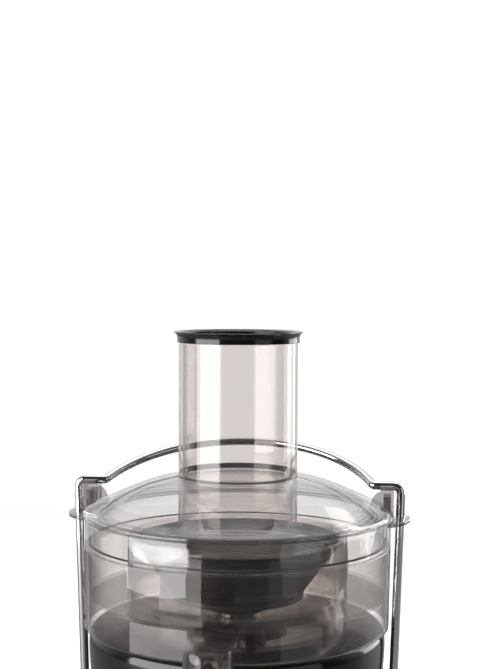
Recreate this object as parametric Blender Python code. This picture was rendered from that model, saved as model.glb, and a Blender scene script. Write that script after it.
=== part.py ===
"""Centrifugal juicer with a wide feed tube, standing on four feet.

The origin is on the ground, at the middle of the footprint. The front, with the
juice spout and the speed dial, faces -Y. The right side is +X, and +Z is up. Metres.
Each piece is drawn round the spindle, and the whole is set back over its footprint last.
"""

import math

import bmesh
import bpy
from mathutils import Matrix, Vector

GAP = 0.0003                 # clearance between pieces that touch
RINGS = 40                   # sides of a large turned piece
FINE = 16                    # sides of a small turned piece
SPINDLE_Y = -0.0404          # the spindle stands in front of the footprint's middle

# Feed tube and lid. Heights marked "rise" are measured from the tube's foot.
FOOT_Z = 0.306               # where the tube meets the cone of the lid
TUBE_RADIUS = 0.041
TUBE_BORE = 0.0381
TUBE_LOW = 0.237
TUBE_RISE = 0.0967
COLLAR_RADIUS = 0.0422
COLLAR_LOW_RISE = 0.0922
LID_RADIUS = 0.1062
SEAM_Z = 0.2607              # joint line between lid and bowl

# Bowl, basket and chute
BOWL_RADIUS = 0.1055
BOWL_LOW = 0.2046
BOWL_FLOOR = 0.2072
TROUGH_FLOOR = 0.2270        # floor of the outer ring that catches the pulp
INNER_WALL_RADIUS = 0.0756
INNER_WALL_TOP = 0.2662
SPOUT_HALF_WIDTH = 0.0145
SPOUT_END = 0.142
CHUTE_HALF_WIDTH = 0.058
CHUTE_LOW = 0.2245
CHUTE_END = 0.184

# Motor base
HOUSING_RADIUS = 0.1045
WAIST_RADIUS = 0.0952
DECK_Z = 0.2043
DIAL_Z = 0.082
SHAFT_RADIUS = 0.004

# Locking bail
WIRE_RADIUS = 0.003
PIVOT_Z = 0.150
PIVOT_X = 0.1073
LEG_TOP_X = 0.112
RUN_RISE = -0.0045           # the level run that presses on the lid's clips
KINK_X = 0.093
HOOP_BACK = 0.058            # how far the hoop leans behind its two kinks
HOOP_RISE = 0.0216
BAIL_SWING = math.radians(34)
CAM_RADIUS = 0.009
PLUNGER_TRAVEL = 0.003
PLUNGER_X = -0.0862

# Pulp container
BIN_FRONT_RADIUS = 0.1085    # hollow front that nests round the motor base
BIN_HALF_WIDTH = 0.070
BIN_END = 0.197
BIN_TOP = 0.222
WALL = 0.0024                # usual moulded wall


def clear_scene():
    for old in list(bpy.data.objects):
        bpy.data.objects.remove(old, do_unlink=True)


def finish(name, colour, roughness, metallic=0.0, alpha=1.0):
    """A plain Principled material."""
    made = bpy.data.materials.new(name)
    made.use_nodes = True
    shader = made.node_tree.nodes["Principled BSDF"]
    shader.inputs["Base Color"].default_value = (*colour, 1.0)
    shader.inputs["Roughness"].default_value = roughness
    shader.inputs["Metallic"].default_value = metallic
    shader.inputs["Alpha"].default_value = alpha
    made.diffuse_color = (*colour, alpha)
    return made


def make_finishes():
    return {
        "smoky_plastic": finish("smoky_plastic", (0.50, 0.45, 0.43), 0.05, alpha=0.4),
        "black_gloss": finish("black_gloss", (0.015, 0.015, 0.017), 0.12),
        "black_matte": finish("black_matte", (0.03, 0.03, 0.032), 0.5),
        "chrome_wire": finish("chrome_wire", (0.80, 0.80, 0.82), 0.06, 1.0),
        "brushed_steel": finish("brushed_steel", (0.60, 0.60, 0.61), 0.28, 1.0),
        "mesh_steel": finish("mesh_steel", (0.22, 0.21, 0.21), 0.35, 1.0),
        "blade_steel": finish("blade_steel", (0.66, 0.66, 0.67), 0.2, 1.0),
        "core_iron": finish("core_iron", (0.32, 0.31, 0.30), 0.45, 1.0),
        "copper": finish("copper", (0.72, 0.36, 0.20), 0.3, 1.0),
        "grey_rubber": finish("grey_rubber", (0.10, 0.10, 0.10), 0.8),
        "carbon": finish("carbon", (0.05, 0.05, 0.05), 0.7),
        "board_green": finish("board_green", (0.04, 0.20, 0.10), 0.5),
    }


def add_object(name, bm, material, parent=None):
    """Turn a bmesh into a named object with outward faces and smooth round sides."""
    bmesh.ops.recalc_face_normals(bm, faces=bm.faces)
    mesh = bpy.data.meshes.new(name)
    bm.to_mesh(mesh)
    bm.free()
    mesh.materials.append(material)
    shape = bpy.data.objects.new(name, mesh)
    bpy.context.collection.objects.link(shape)
    shape.parent = parent
    mesh.shade_smooth()
    mesh.set_sharp_from_angle(angle=math.radians(32))
    return shape


def turned(name, outline, material, sides=RINGS, parent=None, frame=None):
    """Spin a closed outline of (radius, height) points round the Z axis of a frame."""
    bm = bmesh.new()
    rings = []
    for radius, height in outline:
        if radius == 0:
            rings.append([bm.verts.new((0, 0, height))] * sides)
            continue
        angles = [2 * math.pi * (k + 0.5) / sides for k in range(sides)]
        rings.append([bm.verts.new((radius * math.cos(a), radius * math.sin(a), height))
                      for a in angles])
    for ring, following in zip(rings, rings[1:] + rings[:1]):
        for k in range(sides):
            step = (k + 1) % sides
            corners = list(dict.fromkeys((ring[k], ring[step], following[step], following[k])))
            if len(corners) > 2:
                bm.faces.new(corners)
    if frame is not None:
        bmesh.ops.transform(bm, matrix=frame, verts=bm.verts)
    return add_object(name, bm, material, parent)


def tube_outline(inner, outer, low, high):
    return [(inner, low), (outer, low), (outer, high), (inner, high)]


def rod_outline(radius, low, high):
    return [(0, low), (radius, low), (radius, high), (0, high)]


def prism(name, outline, low, high, material, parent=None, frame=None):
    """Extrude a closed (x, y) outline upwards. high may be a rule of x and y."""
    top = high if callable(high) else lambda x, y: high
    bm = bmesh.new()
    below = [bm.verts.new((x, y, low)) for x, y in outline]
    above = [bm.verts.new((x, y, top(x, y))) for x, y in outline]
    bm.faces.new(below)
    bm.faces.new(above)
    count = len(outline)
    for k in range(count):
        step = (k + 1) % count
        bm.faces.new((below[k], below[step], above[step], above[k]))
    if frame is not None:
        bmesh.ops.transform(bm, matrix=frame, verts=bm.verts)
    return add_object(name, bm, material, parent)


def block(name, low, high, material, parent=None):
    outline = [(low[0], low[1]), (high[0], low[1]), (high[0], high[1]), (low[0], high[1])]
    return prism(name, outline, low[2], high[2], material, parent)


def combine(target, tool, operation):
    """Apply a Boolean of tool to target, then remove tool."""
    change = target.modifiers.new("change", "BOOLEAN")
    change.operation = operation
    change.solver = "EXACT"
    change.object = tool
    depsgraph = bpy.context.evaluated_depsgraph_get()
    result = bpy.data.meshes.new_from_object(target.evaluated_get(depsgraph))
    target.modifiers.clear()
    material = target.data.materials[0]
    result.materials.clear()
    result.materials.append(material)
    target.data = result
    result.name = target.name
    bpy.data.objects.remove(tool, do_unlink=True)
    return target


def cut(target, tool):
    return combine(target, tool, "DIFFERENCE")


def join(target, tool):
    return combine(target, tool, "UNION")


def rounded(points, radii, steps, closed=False):
    """Replace corners of a path with arcs tangent to both sides."""
    path = []
    count = len(points)
    for k, radius in enumerate(radii):
        corner = Vector(points[k])
        at_end = not closed and k in (0, count - 1)
        if radius == 0 or at_end:
            path.append(corner)
            continue
        before = (Vector(points[k - 1]) - corner).normalized()
        after = (Vector(points[(k + 1) % count]) - corner).normalized()
        half = before.angle(after) / 2
        setback = radius / math.tan(half)
        centre = corner + (before + after).normalized() * (radius / math.sin(half))
        start = (corner + before * setback - centre).normalized()
        end = (corner + after * setback - centre).normalized()
        for step in range(steps + 1):
            path.append(centre + start.slerp(end, step / steps) * radius)
    return path


def arc(radius, start, end, steps):
    """Points (x, y) on a circle round the spindle, angles in degrees."""
    angles = [math.radians(start + (end - start) * k / steps) for k in range(steps + 1)]
    return [(radius * math.cos(a), radius * math.sin(a)) for a in angles]


def wire(name, path, radius, material, parent=None):
    """A round wire along a path of points, with closed ends."""
    curve = bpy.data.curves.new(name, "CURVE")
    curve.dimensions = "3D"
    curve.bevel_depth = radius
    curve.bevel_resolution = 2
    curve.use_fill_caps = True
    spline = curve.splines.new("POLY")
    spline.points.add(len(path) - 1)
    for point, place in zip(spline.points, path):
        point.co = (*place, 1)
    curve.materials.append(material)
    shape = bpy.data.objects.new(name, curve)
    bpy.context.collection.objects.link(shape)
    shape.parent = parent
    return shape


def axis_empty(name, place):
    empty = bpy.data.objects.new(name, None)
    empty.location = place
    bpy.context.collection.objects.link(empty)
    return empty


def along_x(place):
    """Frame whose Z axis points along +X."""
    return Matrix.Translation(place) @ Matrix.Rotation(math.pi / 2, 4, "Y")


def along_front(place):
    """Frame whose Z axis points forwards, along -Y."""
    return Matrix.Translation(place) @ Matrix.Rotation(math.pi / 2, 4, "X")


# Lid group ---------------------------------------------------------------

def lid_outline():
    """Section of the lid: cone, flange bead, outer skirt and inner skirt."""
    outer = [(0.0413, 0.0006), (0.0520, -0.0017), (0.0610, -0.0039), (0.0721, -0.0078),
             (0.0829, -0.0125), (0.0942, -0.0176), (0.1021, -0.0212), (LID_RADIUS, -0.0236)]
    skirt = [(LID_RADIUS, -0.0261), (0.1054, -0.0268), (0.1054, SEAM_Z + GAP - FOOT_Z),
             (0.1030, SEAM_Z + GAP - FOOT_Z), (0.1030, -0.0248), (0.0940, -0.0202),
             (0.0850, -0.0160)]
    inner_skirt = [(0.0890, -0.0206), (0.0953, -0.0254), (0.1000, -0.0306), (0.1006, -0.0480),
                   (0.0986, -0.0480), (0.0982, -0.0322), (0.0936, -0.0270), (0.0872, -0.0220),
                   (0.0799, -0.0156), (0.0721, -0.0104), (0.0610, -0.0064), (0.0520, -0.0042),
                   (0.0413, -0.0020)]
    return [(radius, FOOT_Z + rise) for radius, rise in outer + skirt + inner_skirt]


def lid_clearance(material):
    """A solid of the lid's outer surface, grown by the gap, that trims what stands on it."""
    top = [(radius + GAP, height + GAP) for radius, height in lid_outline()[:8]]
    rim = [(LID_RADIUS + GAP, SEAM_Z)]
    return turned("lid_clearance", [(0, SEAM_Z), *rim, *reversed(top), (0, top[0][1])], material)


def make_lid(finishes):
    smoky = finishes["smoky_plastic"]
    turned("lid", lid_outline(), smoky)
    turned("feed_tube", tube_outline(TUBE_BORE, TUBE_RADIUS, TUBE_LOW, FOOT_Z + TUBE_RISE), smoky)
    collar = [(0.0413, COLLAR_LOW_RISE), (COLLAR_RADIUS, COLLAR_LOW_RISE),
              (COLLAR_RADIUS, 0.0956), (0.0429, 0.0974), (0.0447, 0.0992), (0.0440, 0.0997),
              (0.0405, 0.0992), (0.0383, 0.0980), (0.0383, 0.0970), (0.0413, 0.0970)]
    turned("tube_collar", [(radius, FOOT_Z + rise) for radius, rise in collar],
           finishes["black_gloss"])
    turned("lid_seal", tube_outline(0.1009, 0.1027, 0.2590, 0.2630), finishes["grey_rubber"])
    for side, name in ((1, "right"), (-1, "left")):
        make_clip(side, name, smoky)
        make_tab(side, name, smoky)


def make_clip(side, name, material):
    """Post on the flange whose saddle holds the bail's level run."""
    seat = RUN_RISE - WIRE_RADIUS - GAP
    saddle_radius = WIRE_RADIUS + GAP
    groove = [(-saddle_radius * math.cos(a), RUN_RISE - saddle_radius * math.sin(a))
              for a in [math.radians(15 * k) for k in range(1, 7)]]
    side_view = [(-0.011, -0.040), (-0.011, -0.0058), (-0.0085, -0.0042), (-0.0045, -0.0038),
                 *groove, (0.011, seat - 0.0012), (0.011, -0.040)]
    turn = Matrix(((0, 0, 1, 0), (1, 0, 0, 0), (0, 1, 0, FOOT_Z), (0, 0, 0, 1)))
    low, high = sorted((side * 0.0980, side * 0.1070))
    clip = prism("lid_clip_" + name, side_view, low, high, material, frame=turn)
    fin_view = [(side * 0.1000, -0.040), (side * 0.0900, -0.040), (side * 0.0905, -0.0190),
                (side * 0.0925, -0.0130), (side * 0.0960, -0.0092), (side * 0.1000, -0.0090)]
    fin_frame = Matrix(((1, 0, 0, 0), (0, 0, 1, 0), (0, 1, 0, FOOT_Z), (0, 0, 0, 1)))
    join(clip, prism("fin", fin_view, -0.0015, 0.0015, material, frame=fin_frame))
    cut(clip, lid_clearance(material))
    trim_low, trim_high = sorted((side * 0.0800, side * 0.1200))
    cut(clip, block("trim", (trim_low, -0.02, 0.2), (trim_high, 0.02, FOOT_Z - 0.0245), material))


def make_tab(side, name, material):
    """Flat lug at the flange, with a slot behind it for the bail's leg."""
    slot_half = 0.0036
    leg_x = LEG_TOP_X - 0.0008
    outline = [(0.1000, 0.0090), (0.1000, -0.0280), (0.1085, -0.0230), (0.1150, -0.0140),
               (0.1180, -0.0040), (0.1180, 0.0090), (leg_x + slot_half, 0.0090),
               (leg_x + slot_half, -0.0010), (leg_x + 0.0020, -0.0034),
               (leg_x - 0.0020, -0.0034), (leg_x - slot_half, -0.0010),
               (leg_x - slot_half, 0.0090)]
    placed = [(side * x, y) for x, y in outline]
    tab = prism("lid_tab_" + name, placed, FOOT_Z - 0.0288, FOOT_Z - 0.0263, material)
    cut(tab, turned("edge", rod_outline(LID_RADIUS + GAP, 0.2, 0.4), material))


# Bowl group --------------------------------------------------------------

def make_bowl(finishes):
    """Inner cup for the juice, outer trough for the pulp, and the duct to the spout."""
    smoky = finishes["smoky_plastic"]
    below_trough = TROUGH_FLOOR - WALL
    outline = [(0.0140, BOWL_LOW), (INNER_WALL_RADIUS, BOWL_LOW),
               (INNER_WALL_RADIUS, below_trough), (0.1018, below_trough), (0.1018, BOWL_LOW),
               (0.1042, BOWL_LOW), (BOWL_RADIUS, SEAM_Z), (0.1030, SEAM_Z),
               (0.1022, TROUGH_FLOOR), (INNER_WALL_RADIUS, TROUGH_FLOOR),
               (INNER_WALL_RADIUS, INNER_WALL_TOP), (0.0734, INNER_WALL_TOP),
               (0.0734, BOWL_FLOOR), (0.0165, BOWL_FLOOR), (0.0165, 0.2220), (0.0140, 0.2220)]
    bowl = turned("bowl", outline, smoky)
    width = SPOUT_HALF_WIDTH
    join(bowl, block("duct", (-width, -0.1030, BOWL_LOW + 0.0002), (width, -0.0745, 0.2256), smoky))
    cut(bowl, block("juice_way", (-width + WALL, -0.1200, BOWL_FLOOR), (width - WALL, -0.0650, 0.2222),
                    smoky))
    cut(bowl, block("pulp_way", (-0.0480, 0.0900, TROUGH_FLOOR + GAP), (0.0480, 0.1200, 0.2500),
                    smoky))


def make_spout(finishes):
    """Channel that meets the bowl's duct and turns down over the glass."""
    smoky = finishes["smoky_plastic"]
    width = SPOUT_HALF_WIDTH
    low, high = BOWL_LOW + 0.0006, 0.2256
    tip = arc(width, 180, 360, 8)
    outline = [(width, -0.1000), (-width, -0.1000)] + [(x, y - SPOUT_END) for x, y in tip]
    spout = prism("juice_spout", outline, low, high, smoky)
    cut(spout, turned("bowl_wall", rod_outline(BOWL_RADIUS + GAP, 0.19, 0.24), smoky))
    nozzle = Matrix.Translation((0, -SPOUT_END, 0))
    join(spout, turned("nozzle", rod_outline(0.0125, 0.1860, high - 0.0040), smoky, FINE,
                       frame=nozzle))
    inner = width - WALL
    cut(spout, block("channel", (-inner, -SPOUT_END, low + WALL), (inner, -0.0900, high - WALL),
                     smoky))
    cut(spout, turned("bore", rod_outline(0.0101, 0.1800, high - 0.0031), smoky, FINE,
                      frame=nozzle))


def make_chute(finishes):
    """Hood that leads the pulp from the bowl's rear opening down into the container."""
    smoky = finishes["smoky_plastic"]

    def roof(_x, y):
        return 0.2540 - (y - 0.105) * 0.17

    def lining(x, y):
        return roof(x, y) - WALL

    width = CHUTE_HALF_WIDTH
    corners = [(-width, 0.085), (width, 0.085), (width, CHUTE_END), (-width, CHUTE_END)]
    outline = [tuple(p) for p in rounded(corners, (0, 0, 0.022, 0.022), 4, closed=True)]
    chute = prism("pulp_chute", outline, CHUTE_LOW, roof, smoky)
    inner = width - WALL
    rear = 0.022 - WALL
    corners = [(-inner, 0.060), (inner, 0.060), (inner, CHUTE_END - WALL),
               (-inner, CHUTE_END - WALL)]
    outline = [tuple(p) for p in rounded(corners, (0, 0, rear, rear), 4, closed=True)]
    cut(chute, prism("lining", outline, TROUGH_FLOOR - 0.0004, lining, smoky))
    inner -= 0.0001
    lip = 0.1125                 # the floor ends here, over the container
    corners = [(-inner, lip), (inner, lip), (inner, CHUTE_END - WALL - 0.0001),
               (-inner, CHUTE_END - WALL - 0.0001)]
    outline = [tuple(p) for p in rounded(corners, (0, 0, rear, rear), 4, closed=True)]
    cut(chute, prism("drop", outline, CHUTE_LOW - 0.01, TROUGH_FLOOR + 0.0040, smoky))
    cut(chute, turned("bowl_wall", rod_outline(BOWL_RADIUS + 2 * GAP, 0.2, 0.26), smoky))


# Spindle group -----------------------------------------------------------

def make_basket(finishes):
    black = finishes["black_matte"]
    hub = [(0, 0.2235), (0.0102, 0.2235), (0.0102, 0.2090), (0.0132, 0.2090), (0.0132, 0.2232),
           (0.0173, 0.2232), (0.0173, 0.2140), (0.0195, 0.2140), (0.0195, 0.2232),
           (0.0460, 0.2232), (0.0460, 0.2262), (0, 0.2262)]
    turned("basket_hub", hub, black)
    turned("cutting_disc", tube_outline(0.0092, 0.0436, 0.2266, 0.2282), finishes["blade_steel"])
    nut = [(0, 0.2266), (0.0088, 0.2266), (0.0088, 0.2300), (0.0070, 0.2322), (0.0035, 0.2334),
           (0, 0.2337)]
    turned("basket_nut", nut, finishes["blade_steel"], FINE)
    mesh = [(0.0441, 0.2266), (0.0452, 0.2266), (0.0668, 0.2552), (0.0657, 0.2552)]
    turned("basket_mesh", mesh, finishes["mesh_steel"])
    rim = [(0.0657, 0.2556), (0.0671, 0.2556), (0.0712, 0.2612), (0.0722, 0.2620),
           (0.0722, 0.2635), (0.0700, 0.2635), (0.0695, 0.2612)]
    turned("basket_rim", rim, finishes["black_gloss"])


def make_coupling(finishes):
    """Six-lobed driver on the shaft's end."""
    lobes = 6
    count = 4 * lobes
    outline = []
    for k in range(count):
        radius = 0.0098 if k % 4 < 2 else 0.0080
        angle = 2 * math.pi * k / count
        outline.append((radius * math.cos(angle), radius * math.sin(angle)))
    coupling = prism("drive_coupling", outline, 0.2076, 0.2226, finishes["black_matte"])
    bore = rod_outline(SHAFT_RADIUS + GAP, 0.2, 0.2194)
    cut(coupling, turned("bore", bore, finishes["black_matte"], 16))


def make_motor(finishes):
    bore = SHAFT_RADIUS + GAP
    iron = finishes["core_iron"]
    copper = finishes["copper"]
    black = finishes["black_matte"]
    turned("motor_shaft", rod_outline(SHAFT_RADIUS, 0.0240, 0.2190), finishes["blade_steel"], 16)
    turned("rotor_core", tube_outline(bore, 0.0252, 0.0770, 0.1130), iron, FINE)
    turned("commutator", tube_outline(bore, 0.0120, 0.1180, 0.1300), copper, FINE)
    turned("stator_core", tube_outline(0.0262, 0.0420, 0.0750, 0.1150), iron, FINE)
    for name, start in (("right", -55), ("left", 125)):
        outline = arc(0.0380, start, start + 110, 8) + arc(0.0266, start + 110, start, 8)
        prism("winding_" + name, outline, 0.1153, 0.1240, copper)
    for name, side in (("front", -1), ("rear", 1)):
        near, far = sorted((side * 0.0124, side * 0.0260))
        block("brush_" + name, (-0.003, near, 0.1210), (0.003, far, 0.1270), finishes["carbon"])
        near, far = sorted((side * 0.0160, side * 0.0340))
        holder = block("brush_holder_" + name, (-0.005, near, 0.1190), (0.005, far, 0.1290), black)
        near, far = sorted((side * 0.0150, side * 0.0263))
        cut(holder, block("slot", (-0.0033, near, 0.1207), (0.0033, far, 0.1273), black))
    for name, level in (("lower", 0.0470), ("upper", 0.1350)):
        bracket = block("bracket_" + name, (-0.015, -0.0900, level), (0.015, 0.0900, level + 0.006),
                        finishes["brushed_steel"])
        seat = rod_outline(0.0113, level - 0.01, level + 0.02)
        cut(bracket, turned("seat", seat, black, FINE))
        turned("bearing_" + name, tube_outline(bore, 0.0110, level - 0.0005, level + 0.0065),
               finishes["blade_steel"], FINE)
    make_fan(finishes)


def make_fan(finishes):
    """Cooling fan: a hub and back plate with straight blades."""
    black = finishes["black_matte"]
    section = [(SHAFT_RADIUS + GAP, 0.0300), (0.0360, 0.0300), (0.0360, 0.0318), (0.0100, 0.0318),
               (0.0100, 0.0450), (SHAFT_RADIUS + GAP, 0.0450)]
    fan = turned("cooling_fan", section, black, FINE)
    blades = 7
    for k in range(blades):
        turn = Matrix.Rotation(2 * math.pi * k / blades, 4, "Z")
        corners = [(0.0085, -0.0007), (0.0352, -0.0007), (0.0352, 0.0007), (0.0085, 0.0007)]
        join(fan, prism("blade", corners, 0.0309, 0.0440, black, frame=turn))


# Motor base --------------------------------------------------------------

def make_housing(finishes):
    outer = [(HOUSING_RADIUS, 0.0131), (HOUSING_RADIUS, 0.0210), (0.1022, 0.0280),
             (0.0970, 0.0330), (WAIST_RADIUS, 0.0350), (WAIST_RADIUS, 0.1260), (0.0962, 0.1360),
             (0.0995, 0.1640), (0.1013, 0.1850), (0.1015, 0.1970), (0.1000, 0.2022),
             (0.0970, DECK_Z), (0.0190, DECK_Z)]
    inner = [(0.0190, 0.2013), (0.0960, 0.2013), (0.0985, 0.1965), (0.0983, 0.1850),
             (0.0965, 0.1640), (0.0932, 0.1360), (0.0922, 0.1260), (0.0922, 0.0350),
             (0.0992, 0.0268), (0.1015, 0.0205), (0.1015, 0.0131)]
    housing = turned("motor_housing", outer + inner, finishes["black_gloss"])
    wrap = turned("steel_wrap", tube_outline(WAIST_RADIUS + GAP, 0.0963, 0.0362, 0.1240),
                  finishes["brushed_steel"])
    for shell in (housing, wrap):
        frame = along_front((0, -0.060, DIAL_Z))
        cut(shell, turned("dial_hole", rod_outline(0.0273, 0, 0.060), finishes["black_gloss"], FINE,
                          frame=frame))
        cut(shell, turned("cord_hole", rod_outline(0.0083, -0.01, 0.03), finishes["black_gloss"],
                          16, frame=inlet_frame()))
    for side in (1, -1):
        frame = along_x((side * 0.100, 0, PIVOT_Z))
        cut(housing, turned("boss_hole", rod_outline(0.0153, -0.02, 0.02), finishes["black_gloss"],
                            FINE, frame=frame))
    base = turned("base_plate", rod_outline(0.1030, 0.0088, 0.0128), finishes["black_matte"])
    for k in range(3):
        row = (k - 1) * 0.016
        cut(base, block("vent", (-0.026, row - 0.004, 0), (0.026, row + 0.004, 0.02),
                        finishes["black_matte"]))


def inlet_frame():
    """Frame at the cord inlet, its Z axis pointing outwards at the rear right."""
    heading = math.radians(25)
    reach = 0.090
    place = (reach * math.cos(heading), reach * math.sin(heading), 0.050)
    return (Matrix.Translation(place) @ Matrix.Rotation(heading, 4, "Z")
            @ Matrix.Rotation(math.pi / 2, 4, "Y"))


def make_base_fittings(finishes):
    rubber = finishes["grey_rubber"]
    foot = [(0, 0), (0.0095, 0), (0.0110, 0.0015), (0.0118, 0.0085), (0, 0.0085)]
    for name, x, y in (("front_right", 0.062, -0.062), ("front_left", -0.062, -0.062),
                       ("rear_right", 0.066, 0.058), ("rear_left", -0.066, 0.058)):
        turned("foot_" + name, foot, rubber, 16).location = (x, y, 0)
    inlet = [(0, -0.0040), (0.0080, -0.0040), (0.0080, 0.0068), (0.0100, 0.0078),
             (0.0096, 0.0112), (0.0066, 0.0200), (0, 0.0200)]
    turned("cord_inlet", inlet, rubber, 16, frame=inlet_frame())
    block("control_board", (-0.030, 0.0700, 0.0620), (0.030, 0.0716, 0.1120),
          finishes["board_green"])
    for side, name in ((1, "right"), (-1, "left")):
        boss = [(WIRE_RADIUS + GAP, 0), (0.0150, 0), (0.0150, 0.0086), (0.0138, 0.0100),
                (WIRE_RADIUS + GAP, 0.0100)]
        frame = along_x((side * 0.0912, 0, PIVOT_Z))
        if side < 0:
            frame = frame @ Matrix.Rotation(math.pi, 4, "X")
        turned("bail_boss_" + name, boss, finishes["black_gloss"], FINE, frame=frame)


def make_dial(finishes):
    black = finishes["black_matte"]
    bezel = [(0.0040, 0), (0.0270, 0), (0.0270, 0.0100), (0.0255, 0.0115), (0.0040, 0.0115)]
    turned("dial_bezel", bezel, finishes["brushed_steel"], FINE,
           frame=along_front((0, -0.0880, DIAL_Z)))
    dial_axis = axis_empty("dial_axis", (0, -0.0998, DIAL_Z))
    knob = [(0, -0.0200), (0.0030, -0.0200), (0.0030, 0), (0.0210, 0), (0.0205, 0.0140),
            (0.0185, 0.0165), (0, 0.0165)]
    frame = along_front((0, 0, 0))
    dial = turned("speed_dial", knob, finishes["black_gloss"], FINE, dial_axis, frame)
    grip = prism("grip", [(-0.0030, -0.0165), (0.0030, -0.0165), (0.0030, 0.0165),
                          (-0.0030, 0.0165)], 0.0150, 0.0205, finishes["black_gloss"],
                 dial_axis, frame)
    join(dial, grip)
    switch = block("rotary_switch", (-0.013, -0.0872, DIAL_Z - 0.013), (0.013, -0.0700,
                   DIAL_Z + 0.013), black)
    hole = rod_outline(0.0034, 0, 0.0200)
    cut(switch, turned("stem_hole", hole, black, 16, frame=along_front((0, -0.0780, DIAL_Z))))


# Locking bail ------------------------------------------------------------

def bail_path():
    """One path from the right pin over the hoop to the left pin, from the pivot's centre."""
    run = FOOT_Z + RUN_RISE - PIVOT_Z
    sagitta = math.hypot(HOOP_BACK, HOOP_RISE)
    hoop_radius = (KINK_X ** 2 + sagitta ** 2) / (2 * sagitta)
    inset = hoop_radius - sagitta
    half_angle = math.asin(KINK_X / hoop_radius)
    hoop = []
    steps = 10
    for k in range(1, steps + 1):
        angle = half_angle * (1 - k / steps)
        depth = hoop_radius * math.cos(angle) - inset
        hoop.append((hoop_radius * math.sin(angle), depth * HOOP_BACK / sagitta,
                     run + depth * HOOP_RISE / sagitta))
    corners = [(0.0840, 0, 0), (PIVOT_X, 0, 0), (LEG_TOP_X, 0, run), (KINK_X, 0, run)]
    right = rounded([*corners, hoop[0]], (0, 0.005, 0.0052, 0.004, 0), 4)[:-1] + hoop
    right = [Vector(point) for point in right]
    left = [Vector((-x, y, z)) for x, y, z in reversed(right[:-1])]
    return right + left


def make_bail(finishes):
    pivot = axis_empty("bail_axis", (0, 0, PIVOT_Z))
    wire("bail", bail_path(), WIRE_RADIUS, finishes["chrome_wire"], pivot)
    turned("bail_retainer", tube_outline(WIRE_RADIUS + GAP, 0.0065, 0, 0.0020),
           finishes["blade_steel"], FINE, pivot, along_x((0.0870, 0, 0)))
    make_cam(finishes, pivot)
    make_interlock(finishes)


def make_cam(finishes, pivot):
    """Snail cam on the left pin. Its radius falls along the part that meets the plunger."""
    steps = 32
    outline = []
    for k in range(steps):
        ahead = 2 * math.pi * k / steps          # angle in front of the top, at rest
        drop = min(ahead / BAIL_SWING, 1.4) * PLUNGER_TRAVEL
        if ahead > math.radians(200):
            share = (ahead - math.radians(200)) / math.radians(160)
            drop *= max(0.0, 1 - 1.6 * share)
        radius = CAM_RADIUS - drop
        outline.append((-radius * math.sin(ahead), radius * math.cos(ahead)))
    frame = Matrix(((0, 0, 1, PLUNGER_X - 0.0020), (1, 0, 0, 0), (0, 1, 0, 0), (0, 0, 0, 1)))
    cam = prism("bail_cam", outline, 0, 0.0040, finishes["black_matte"], pivot, frame)
    bore = turned("bore", rod_outline(WIRE_RADIUS + GAP, -0.01, 0.01), finishes["black_matte"],
                  FINE, pivot, along_x((PLUNGER_X, 0, 0)))
    cut(cam, bore)


def make_interlock(finishes):
    """Safety switch that closes only while the bail stands upright."""
    black = finishes["black_matte"]
    tip = PIVOT_Z + CAM_RADIUS + 0.0005
    pin = [(0, tip), (0.0003, tip), (0.0020, tip + 0.0017), (0.0020, 0.1777), (0, 0.1777)]
    plunger = turned("interlock_plunger", pin, finishes["blade_steel"], 16)
    plunger.location = (PLUNGER_X, 0, 0)
    switch = block("interlock_switch", (-0.0930, -0.012, 0.1780), (-0.0800, 0.012, 0.1920), black)
    join(switch, block("arm", (-0.0905, -0.0119, 0.1641), (-0.0801, -0.0090, 0.1790), black))
    join(switch, block("guide", (-0.0904, -0.0110, 0.1640), (-0.0802, 0.0060, 0.1670), black))
    hole = turned("hole", rod_outline(0.0024, 0.160, 0.170), black, 16)
    hole.location = (PLUNGER_X, 0, 0)
    cut(switch, hole)


# Pulp container ----------------------------------------------------------

def bin_outline(inset):
    """Plan of the container: hollow front, straight sides and rounded rear corners."""
    width = BIN_HALF_WIDTH - inset
    radius = BIN_FRONT_RADIUS + inset
    spread = math.degrees(math.asin(width / radius))
    front = arc(radius, 90 + spread, 90 - spread, 12)
    end = BIN_END - inset
    corners = [front[-1], (width, end), (-width, end), front[0]]
    rear = rounded(corners, (0, 0.030 - inset, 0.030 - inset, 0), 5)
    return front + [tuple(point) for point in rear[1:-1]]


def make_bin(finishes):
    smoky = finishes["smoky_plastic"]
    bin_shell = prism("pulp_container", bin_outline(0), 0.0006, BIN_TOP, smoky)
    cut(bin_shell, prism("hollow", bin_outline(WALL), 0.0036, BIN_TOP + 0.01, smoky))
    reach = BIN_END + GAP + 0.0040
    corners = [(0, reach, 0.0800), (0, reach + 0.0300, 0.0800), (0, reach + 0.0300, 0.1850),
               (0, reach, 0.1850)]
    handle = wire("bin_handle", rounded(corners, (0, 0.014, 0.014, 0), 4), 0.0060,
                  finishes["black_gloss"])
    pads = [block("pad", (-0.0110, BIN_END + GAP, z - 0.0110), (0.0110, reach + 0.0030, z + 0.0110),
                  finishes["black_gloss"]) for z in (0.0800, 0.1850)]
    solid = bpy.data.meshes.new_from_object(handle)
    bpy.data.objects.remove(handle, do_unlink=True)
    grip = bpy.data.objects.new("bin_handle", solid)
    bpy.context.collection.objects.link(grip)
    for pad in pads:
        join(grip, pad)


def main():
    clear_scene()
    finishes = make_finishes()
    make_lid(finishes)
    make_bowl(finishes)
    make_spout(finishes)
    make_chute(finishes)
    turned("shaft_seal", tube_outline(SHAFT_RADIUS + GAP, 0.0137, 0.2050, 0.2070),
           finishes["grey_rubber"], FINE)
    make_basket(finishes)
    make_coupling(finishes)
    make_motor(finishes)
    make_housing(finishes)
    make_base_fittings(finishes)
    make_dial(finishes)
    make_bail(finishes)
    make_bin(finishes)
    for shape in bpy.data.objects:
        if shape.parent is None:
            shape.location.y += SPINDLE_Y


main()
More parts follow.
